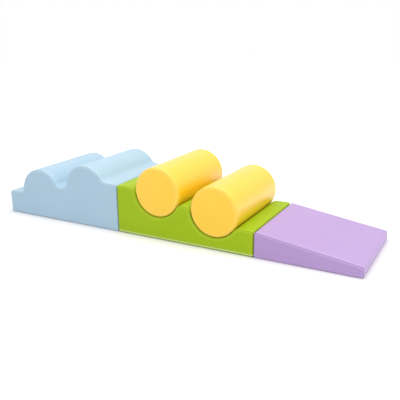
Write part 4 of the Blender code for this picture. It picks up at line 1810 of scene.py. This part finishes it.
def cut_foam(piece: bpy.types.Object, low: Sequence[float], high: Sequence[float],
             place: Matrix, keep: Cut) -> None:
    """Cut foam along the faces of a box, and apply the cut.

    Args:
        piece: The foam.
        low: Lowest corner of the box, in its own frame.
        high: Highest corner.
        place: Where the box lies.
        keep: Which part of the foam stays.
    """
    corners = np.array([(x, y, z) for x in (low[0], high[0]) for y in (low[1], high[1])
                        for z in (low[2], high[2])])
    quads = np.array([(0, 1, 3, 2), (4, 6, 7, 5), (0, 4, 5, 1), (2, 3, 7, 6), (0, 2, 6, 4),
                      (1, 5, 7, 3)])
    tool = Shape(corners, [quads]).placed(place).object(piece.name + "_tool")
    cut = piece.modifiers.new("cut", "BOOLEAN")
    cut.operation = keep.value
    cut.solver = "EXACT"
    cut.object = tool
    bpy.context.view_layer.update()
    graph = bpy.context.evaluated_depsgraph_get()
    mesh = bpy.data.meshes.new_from_object(piece.evaluated_get(graph))
    piece.modifiers.clear()
    mesh.name = piece.name
    piece.data = mesh
    bpy.data.objects.remove(tool)


@dataclass(frozen=True)
class Block:
    """A block: its cover in four panels, its foam and the zip in its base."""

    prefix: str
    body: str
    left_x: float
    length: float
    outline: Outline
    finish: Leathercloth
    zip_margin: float
    drape: Drape
    creases: tuple[Crease, ...] = ()
    welt_and_highlight: float = 0.0
    width: float = 0.600
    rounding: Rounding = Rounding()
    zip_inset: float = 0.110
    step: float = 0.0042
    foam_step: float = 0.009
    foam_turn: float = math.radians(12)
    glue_lines: tuple[float, ...] = ()
    sections: tuple[str, ...] = ("core",)

    @property
    def zip_y(self) -> float:
        """Y of the zip."""
        return self.width / 2 - self.zip_inset

    @property
    def zip(self) -> Zip:
        """The zip, turned to face the floor."""
        place = Matrix.Translation((self.left_x + self.length / 2, self.zip_y, 0))
        return Zip(self.length - 2 * self.zip_margin, place @ Matrix.Rotation(math.pi, 4, "X"))

    def dress(self) -> None:
        """Make the cover, the foam and the zip."""
        cover = Cover(self.outline, self.left_x, self.width / 2, self.drape, self.step,
                      creases=self.creases, welt_and_highlight=self.welt_and_highlight)
        base = BasePanel(cover, self.length, self.rounding, Slot(self.zip.slot_length),
                         self.zip_y)
        for name, panel, finish in (("wrap", WrapPanel(cover), self.finish),
                                    ("front", SidePanel(cover, FRONT), self.finish),
                                    ("back", SidePanel(cover, BACK), self.finish),
                                    ("base", base, GRIP)):
            piece = panel.shape().object(f"{self.prefix}_cover_{name}")
            dressed(piece, finish, self.body, f"{self.prefix}_{name}_panel",
                    COVER_THICKNESS)
        self.foam()
        self.zip.dress(self.prefix, self.body)

    def foam(self) -> None:
        """Make the foam, in sections that end at the glue lines, with the zip's pocket."""
        inner = Cover(self.outline, self.left_x, self.width / 2, self.drape, self.foam_step,
                      self.foam_turn, inset=COVER_THICKNESS + 2 * CLEARANCE)
        shape = FoamCore(inner).shape()
        ends = [-self.width, *self.glue_lines, self.length + self.width]
        for name, start, end in zip(self.sections, ends, ends[1:]):
            piece = shape.object(f"{self.prefix}_foam_{name}_block")
            if self.glue_lines:
                low = (start + CLEARANCE / 2, -self.width, -self.width)
                high = (end - CLEARANCE / 2, self.width, self.width)
                cut_foam(piece, low, high, Matrix.Translation((self.left_x, 0, 0)), Cut.INSIDE)
            self.zip.pocket(piece)
            dressed(piece, FOAM, self.body, f"{self.prefix}_foam_{name}")


@dataclass(frozen=True)
class Roller:
    """A roller: wrap, two caps, foam and the zip along its underside."""

    prefix: str
    axis_x: float
    axis_z: float
    seed: int
    radius: float = 0.150
    rim: float = 0.018
    half_length: float = 0.298
    zip_slot: float = 0.480
    sides: int = 208
    packed_sides: int = 42

    @property
    def drape(self) -> Drape:
        """How the cover lies: without a crown, because it touches its trough."""
        return Drape(lip_width=0.0011, lip_depth=0.0007, crown=0.0, sway=0.00016,
                     puff=0.0002, pucker=0.00026, seed=self.seed)

    @property
    def middle(self) -> Array:
        """Middle of the roller."""
        return np.array([self.axis_x, 0, self.axis_z])

    @property
    def seam_at(self) -> float:
        """Length over the rim from where it leaves the side to the seam."""
        return self.rim * SEAM_TURN

    @property
    def angles(self) -> Array:
        """Angles once round from the underside, with both ends."""
        return np.linspace(0, 2 * math.pi, self.sides + 1) - QUARTER

    def ring(self, angle: Array, lengths: Array, side: int) -> tuple[Array, Array]:
        """Points over the rim, by angle round the axis and length from the rim's start.

        With t the length / rim radius, held to a quarter turn, a point is at radius
        R - rim (1 - cos t) and at half the length less rim (1 - sin t).

        Args:
            angle: Angles round the axis, one a row.
            lengths: Lengths over the rim from where it leaves the side; below 0 is the side.
            side: FRONT or BACK.

        Returns:
            The points and their outward normals.
        """
        turn = np.clip(lengths / self.rim, 0, QUARTER)
        reach = self.radius - self.rim * (1 - np.cos(turn))
        out = self.half_length - self.rim * (1 - np.sin(turn)) + np.minimum(lengths, 0)
        cos, sin = np.cos(angle)[:, None], np.sin(angle)[:, None]
        points = (self.axis_x + cos * reach, side * out, self.axis_z + sin * reach)
        normals = (cos * np.cos(turn), side * np.sin(turn), sin * np.cos(turn))
        return tuple(stacked(*parts)
                     for parts in (points, normals))

    def wrap(self) -> Shape:
        """The wrap: once round by the length, open along the zip on the underside.

        Returns:
            The shape.
        """
        slot = Slot(self.zip_slot)
        narrow = slot.side / self.radius
        angle = self.angles
        keep = np.abs((angle + QUARTER) % (2 * math.pi) - math.pi) < math.pi - narrow - 0.004
        angle = np.concatenate([[-QUARTER - narrow, -QUARTER + narrow], angle[keep],
                                [3 * QUARTER - narrow]])
        limit = self.half_length - self.rim + self.seam_at
        stops = (-slot.reach, slot.reach)
        y = laddered(-limit, stops, limit, 0.014)
        points, normals = self.ring(angle, np.abs(y) - self.half_length + self.rim, FRONT)
        for part in (points, normals):
            part[..., 1] *= np.where(y < 0, 1.0, -1.0)
        seam = np.array(np.broadcast_to(limit - np.abs(y), points.shape[:2]))
        along = np.array(np.broadcast_to((angle * self.radius)[:, None], seam.shape))
        ease = np.full(seam.shape, 0.6)
        rise = self.drape.rise(points - self.middle, seam, along, ease)
        rise[[0, -1]] = self.drape.rise(points[:1] - self.middle, seam[:1], along[-1:],
                                        ease[:1])
        points = points + normals * rise[..., None]
        points[-1] = points[0]
        middle = np.array([self.axis_x, 0, self.axis_z - self.radius])
        return slotted(points, normals, {"seam": seam, "along": along},
                       [0, 1, *places_of(stops, y)], slot, middle, np.array([0.0, 1.0, 0.0]))

    def cap(self, side: int) -> Shape:
        """A cap: rings over its half of the rim, then rings to a slightly domed middle.

        Args:
            side: FRONT or BACK.

        Returns:
            The shape.
        """
        angle = self.angles[:-1]
        over = np.concatenate([LADDER[:11], np.linspace(
            LADDER[11], self.rim * QUARTER - self.seam_at, 4)])
        points, normals = self.ring(angle, self.seam_at + over, side)
        flat_radius = self.radius - self.rim
        share = np.linspace(1, 0, 24)[1:-1]
        disc = (self.axis_x + np.cos(angle)[:, None] * flat_radius * share,
                side * self.half_length,
                self.axis_z + np.sin(angle)[:, None] * flat_radius * share)
        disc = stacked(*disc)
        way = np.broadcast_to([0.0, float(side), 0.0], disc.shape)
        points = np.concatenate([points, disc], axis=1)
        normals = np.concatenate([normals, way], axis=1)
        seam = np.concatenate([over, over[-1] + flat_radius * (1 - share)])
        seam = np.broadcast_to(seam, points.shape[:2])
        along = np.broadcast_to((angle * self.radius)[:, None], seam.shape)
        fade = np.clip(1.5 - seam / 0.15, 0, 1)
        drape = replace(self.drape, crown=0.0016, crown_reach=0.07)
        rise = drape.rise(points - self.middle, seam, along, fade * 0.9)
        points = points + normals * (rise + (1 - fade) * drape.crown)[..., None]
        flat = np.concatenate([points.reshape(-1, 3), points[:, -1].mean(axis=0)[None]])
        numbers = numbers_of(seam)
        guide = np.concatenate([normals.reshape(-1, 3), way[0, :1]])
        faces = [facing_out(flat, guide, grid_quads(numbers.T, True)),
                 facing_out(flat, way[0, 0], fan_of(numbers[:, -1], len(flat) - 1))]
        return Shape(flat, faces, {"seam": np.append(seam.ravel(), seam.max()),
                                   "along": np.append(along.ravel(), 0.0)})

    def foam(self) -> Shape:
        """The foam: the roller's form set back, dented under the seams, with closed ends.

        Returns:
            The shape.
        """
        inset = COVER_THICKNESS + 2 * CLEARANCE
        angle = self.angles[:-1:2]
        over = np.linspace(self.rim * QUARTER, 0, 9)
        side_rows = -np.linspace(0, self.half_length - self.rim, 10)[1:]
        lengths = np.concatenate([over, side_rows])
        back = DENT_DEPTH * bell(lengths, self.seam_at, DENT_WIDTH) + inset
        rows = []
        for side in (FRONT, BACK):
            points, normals = self.ring(angle, lengths, side)
            rows.append(points - normals * back[:, None])
        body = mirrored(*rows)
        numbers = numbers_of(body[..., 0])
        tips = [[self.axis_x, side * (self.half_length - inset), self.axis_z]
                for side in (FRONT, BACK)]
        flat = np.concatenate([body.reshape(-1, 3), tips])
        faces = [facing_out(flat, (flat - self.middle) * [1, 0, 1],
                            grid_quads(numbers.T, True))]
        for place, (ring, side) in enumerate(((numbers[:, 0], FRONT), (numbers[:, -1], BACK))):
            faces.append(facing_out(flat, (0, side, 0), fan_of(ring, numbers.size + place)))
        return Shape(flat, faces)

    def dress(self) -> None:
        """Make the cover, the foam and the zip."""
        for name, shape, node in (("wrap", self.wrap(), "wrap_panel"),
                                  ("front", self.cap(FRONT), "front_cap"),
                                  ("back", self.cap(BACK), "back_cap")):
            piece = shape.object(f"{self.prefix}_cover_{name}")
            dressed(piece, YELLOW, self.prefix, f"{self.prefix}_{node}",
                    COVER_THICKNESS)
        turn = Matrix(((0, 1, 0), (1, 0, 0), (0, 0, -1))).to_4x4()
        down = self.axis_z - self.radius * math.cos(math.pi / self.packed_sides)
        zipper = Zip(self.zip_slot, Matrix.Translation((self.axis_x, 0, down)) @ turn)
        core = self.foam().object(self.prefix + "_foam_cylinder")
        zipper.pocket(core)
        dressed(core, FOAM, self.prefix, self.prefix + "_foam_core")
        zipper.dress(self.prefix, self.prefix)


# The climber


@dataclass(frozen=True)
class Climber:
    """The whole run: wave block, cradle block with two rollers, and ramp."""

    long_length: float = 0.900
    ramp_length: float = 0.600
    high: float = 0.300
    low: float = 0.150
    thin: float = 0.060
    block_gap: float = 0.0047
    spacing: float = 0.375
    climb: float = 0.065
    hump_radius: float = 0.1535
    first_hump: tuple[float, float] = (0.277, 0.170)
    hump_fillets: tuple[float, float, float] = (0.030, 0.049, 0.060)
    trough_radius: float = 0.154
    first_trough: tuple[float, float] = (0.281, 0.290)
    trough_fillets: tuple[float, float, float] = (0.055, 0.050, 0.045)
    roller_drop: float = 0.003114
    rounding: Rounding = Rounding()

    @property
    def left_ends(self) -> list[float]:
        """X of the left end of each block.

        Returns:
            That of the wave block, the cradle and the ramp.
        """
        first = -(2 * self.long_length + self.ramp_length + 2 * self.block_gap) / 2
        second = first + self.long_length + self.block_gap
        return [first, second, second + self.long_length + self.block_gap]

    def long_outline(self, heights: tuple[float, float], first: Circle,
                     fillets: tuple[float, float, float]) -> Outline:
        """A long block: a flat, two equal humps or troughs, and a flat.

        Args:
            heights: Heights of the left and right flat.
            first: The first hump or trough; the second stands off it towards the high flat.
            fillets: Radii of the arcs before, between and after the two.

        Returns:
            The outline.
        """
        second = Circle(first.x + self.spacing, first.z + first.side * self.climb,
                        first.radius, first.side)
        before, between, after = fillets
        corner = self.rounding.corner
        circles = [circle_beside_flat(heights[0], first, before, 0, corner), first,
                   circle_between(first, second, between), second,
                   circle_beside_flat(heights[1], second, after, self.long_length, corner)]
        return block_outline(self.long_length, *heights,
                             top_arcs(circles, self.rounding.edge), self.rounding)

    def blocks(self) -> list[Block]:
        """The three blocks.

        Returns:
            The wave block, the cradle and the ramp.
        """
        hump = Circle(*self.first_hump, self.hump_radius, 1)
        trough = Circle(*self.first_trough, self.trough_radius, -1)
        slope = math.atan2(self.low - self.thin, self.ramp_length)
        ramp = block_outline(self.ramp_length, self.low, self.thin, [], self.rounding, slope)
        wave, left, right = self.left_ends
        shoulder = (Crease((left + 0.004, 0.281), (left + 0.085, 0.284), 0.0014, 0.0032),
                    Crease((left + 0.060, 0.284), (left + 0.150, 0.215), 0.0014, 0.0034))
        corner = (Crease((right + 0.500, 0.013), (right + 0.590, 0.024), 0.0017, 0.0034),
                  Crease((right + 0.555, 0.030), (right + 0.596, 0.040), 0.0012, 0.0030))
        ramp_drape = Drape(lip_width=0.0026, lip_depth=0.0030, puff=0.0013,
                           puff_place=0.0072, puff_spread=0.0052, seed=13)
        glue_lines = self.first_trough[0], self.first_trough[0] + self.spacing
        return [
            Block("wave", "wave_block", wave, self.long_length,
                  self.long_outline((self.low, self.high), hump, self.hump_fillets),
                  BLUE, 0.100, Drape(seed=11), welt_and_highlight=0.0006),
            Block("cradle", "cradle", left, self.long_length,
                  self.long_outline((self.high, self.low), trough, self.trough_fillets),
                  GREEN, 0.100, Drape(seed=12), shoulder, 0.0024,
                  glue_lines=glue_lines, sections=("high", "ridge", "low")),
            Block("ramp", "ramp", right, self.ramp_length, ramp, LILAC, 0.080, ramp_drape,
                  corner, 0.0008, step=0.0024),
        ]

    def rollers(self) -> list[Roller]:
        """The two rollers, each on the floor of its trough.

        Returns:
            The upper and the lower one.
        """
        x = self.left_ends[1] + self.first_trough[0]
        z = self.first_trough[1] - self.roller_drop
        return [Roller("upper_roller", x, z, 21),
                Roller("lower_roller", x + self.spacing, z - self.climb, 22)]

    def strips(self) -> list[Strip]:
        """The hook and loop strips between the blocks.

        Returns:
            The strips.
        """
        wave, cradle, ramp = self.left_ends
        wave_end, cradle_end = wave + self.long_length, cradle + self.long_length
        upper, lower = self.high / 2, self.low / 2
        return [
            Strip("wave_hook_strip", "wave_block", wave_end, 1, upper, HOOKS),
            Strip("cradle_loop_strip", "cradle", cradle, -1, upper, LOOPS),
            Strip("cradle_hook_strip", "cradle", cradle_end, 1, lower, HOOKS),
            Strip("ramp_loop_strip", "ramp", ramp, -1, lower, LOOPS),
        ]

    def dress(self) -> None:
        """Make every piece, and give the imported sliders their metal."""
        for part in (*self.blocks(), *self.rollers(), *self.strips()):
            part.dress()
        for prefix in ("wave", "cradle", "ramp", "upper_roller", "lower_roller"):
            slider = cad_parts[prefix + "_zip_slider"]
            slider.material_slots[0].material = METAL.material()


# Studio


@dataclass(frozen=True)
class Lamp:
    """A rectangular area lamp; unturned it shines straight down."""

    name: str
    place: tuple[float, float, float]
    turn: tuple[float, float, float]
    size: tuple[float, float]
    power: float
    colour: Colour

    def hang(self) -> None:
        """Link the lamp to the scene, unseen by the camera."""
        data = bpy.data.lights.new(self.name, "AREA")
        data.shape = "RECTANGLE"
        data.size, data.size_y = self.size
        data.energy = self.power
        data.color = self.colour
        lamp = bpy.data.objects.new(self.name, data)
        lamp.location = self.place
        lamp.rotation_euler = self.turn
        lamp.visible_camera = False
        bpy.context.scene.collection.objects.link(lamp)


@dataclass(frozen=True)
class Studio:
    """Pale floor, soft white light and the camera at the photograph's angle."""

    camera_place: tuple[float, float, float] = (1.7190, -2.9783, 1.2395)
    yaw: float = math.radians(-28.338)
    pitch: float = math.radians(17.391)
    roll: float = math.radians(-0.521)
    lens: float = 51.09
    sensor: float = 36.0
    floor_z: float = -0.0005
    floor_half: float = 14.0
    floor_colour: Colour = (0.78, 0.78, 0.80)
    footprint: tuple[float, float, float] = (1.2, 0.3, 0.0)
    # Painted shadow: the floor's glow next to the object and further off, and how fast it rises
    painted_shadow_glow: tuple[float, float] = (0.02, 0.265)
    painted_shadow_reach: float = 0.035
    white_from: float = 0.25
    white_to: float = 1.3
    sky: float = 0.735
    lamps: tuple[Lamp, ...] = (
        Lamp("overhead", (0.3, -0.2, 3.2), (0.0, 0.0, 0.0), (5.0, 4.0), 87.0,
             (1.0, 0.955, 0.91)),
        Lamp("side", (4.4, -1.2, 1.5), (0.0, math.radians(70), math.radians(-15)),
             (2.4, 3.0), 32.0, (1.0, 1.0, 1.0)),
    )

    def set_camera(self) -> None:
        """The camera: its axes are worked out from yaw, pitch and roll."""
        forward = np.array([math.sin(self.yaw) * math.cos(self.pitch),
                            math.cos(self.yaw) * math.cos(self.pitch), -math.sin(self.pitch)])
        level = np.array([math.cos(self.yaw), -math.sin(self.yaw), 0])
        upward = np.cross(level, forward)
        right = math.cos(self.roll) * level + math.sin(self.roll) * upward
        top = -math.sin(self.roll) * level + math.cos(self.roll) * upward
        data = bpy.data.cameras.new("camera")
        data.lens = self.lens
        data.sensor_width = self.sensor
        camera = bpy.data.objects.new("camera", data)
        bpy.context.scene.collection.objects.link(camera)
        axes = Matrix(np.column_stack([right, top, -forward]).tolist())
        camera.matrix_world = Matrix.Translation(self.camera_place) @ axes.to_4x4()
        bpy.context.scene.camera = camera

    @staticmethod
    def backdrop_rays(tree: Tree) -> Socket:
        """1 for the rays that show the backdrop: from the camera, or off or through a gloss.

        Args:
            tree: The nodes.

        Returns:
            The value.
        """
        path = tree.add("LightPath").outputs
        mirrored_rays = tree.sum("MAXIMUM", path["Is Glossy Ray"], path["Is Transmission Ray"])
        return tree.sum("MAXIMUM", path["Is Camera Ray"], mirrored_rays)

    def paint_floor(self, tree: Tree, where: Socket) -> dict[str, object]:
        """Near white, and white to the camera away from the object; next to it, real shade and a
        painted shadow.

        Its glow grows with the distance to the rectangle that the object covers:
        high - (high - low) exp(-distance / reach), and more from white_from on.

        Args:
            tree: The material's nodes.
            where: The place on the floor.

        Returns:
            Inputs of the shader.
        """
        seen = self.backdrop_rays(tree)
        past = tree.vector("SUBTRACT", {0: tree.vector("ABSOLUTE", {0: where}),
                                        1: self.footprint})
        past = tree.vector("MAXIMUM", {0: past, 1: (0.0, 0.0, 0.0)})
        away = tree.add("VectorMath", {0: past}, operation="LENGTH").outputs["Value"]
        # Painted shadow: the glow is lowest next to the object and rises with the distance from
        # it
        low, high = self.painted_shadow_glow
        fading = tree.sum("POWER", math.exp(-1 / self.painted_shadow_reach), away)
        near = tree.sum("MULTIPLY_ADD", fading, low - high, high)
        far = tree.span(away, self.white_from, self.white_to, 0.0, 1.0 - high)
        return {"Base Color": self.floor_colour, "Roughness": 0.9, "Specular IOR Level": 0.1,
                "Emission Color": (1.0, 1.0, 1.0),
                "Emission Strength": tree.times(seen, tree.sum("ADD", near, far))}

    def set_floor(self) -> None:
        """A large level sheet just under the object."""
        half = self.floor_half
        corners = np.array([(x * half, y * half, self.floor_z)
                            for x, y in ((-1, -1), (1, -1), (1, 1), (-1, 1))])
        floor = Shape(corners, [np.array([[0, 1, 2, 3]])]).object("floor")
        floor.data.materials.append(new_material("floor", self.paint_floor))

    def set_light(self) -> None:
        """A pale sky all round, white to the camera, and the lamps."""
        world = bpy.data.worlds.new("studio")
        world.use_nodes = True
        bpy.context.scene.world = world
        tree = Tree(world.node_tree)
        background = world.node_tree.nodes["Background"]
        tree.put(background.inputs["Color"], (1.0, 1.0, 1.0))
        tree.put(background.inputs["Strength"],
                 tree.between(self.backdrop_rays(tree), self.sky, 1.0))
        for lamp in self.lamps:
            lamp.hang()

    def set_up(self) -> None:
        """Camera, floor, lights and plain colour handling."""
        self.set_camera()
        self.set_floor()
        self.set_light()
        bpy.context.scene.view_settings.view_transform = "Standard"


def main() -> None:
    """Set up the studio and dress the climber."""
    logging.basicConfig(level=logging.INFO, format="%(message)s")
    Studio().set_up()
    Climber().dress()


if __name__ == "__main__":
    main()
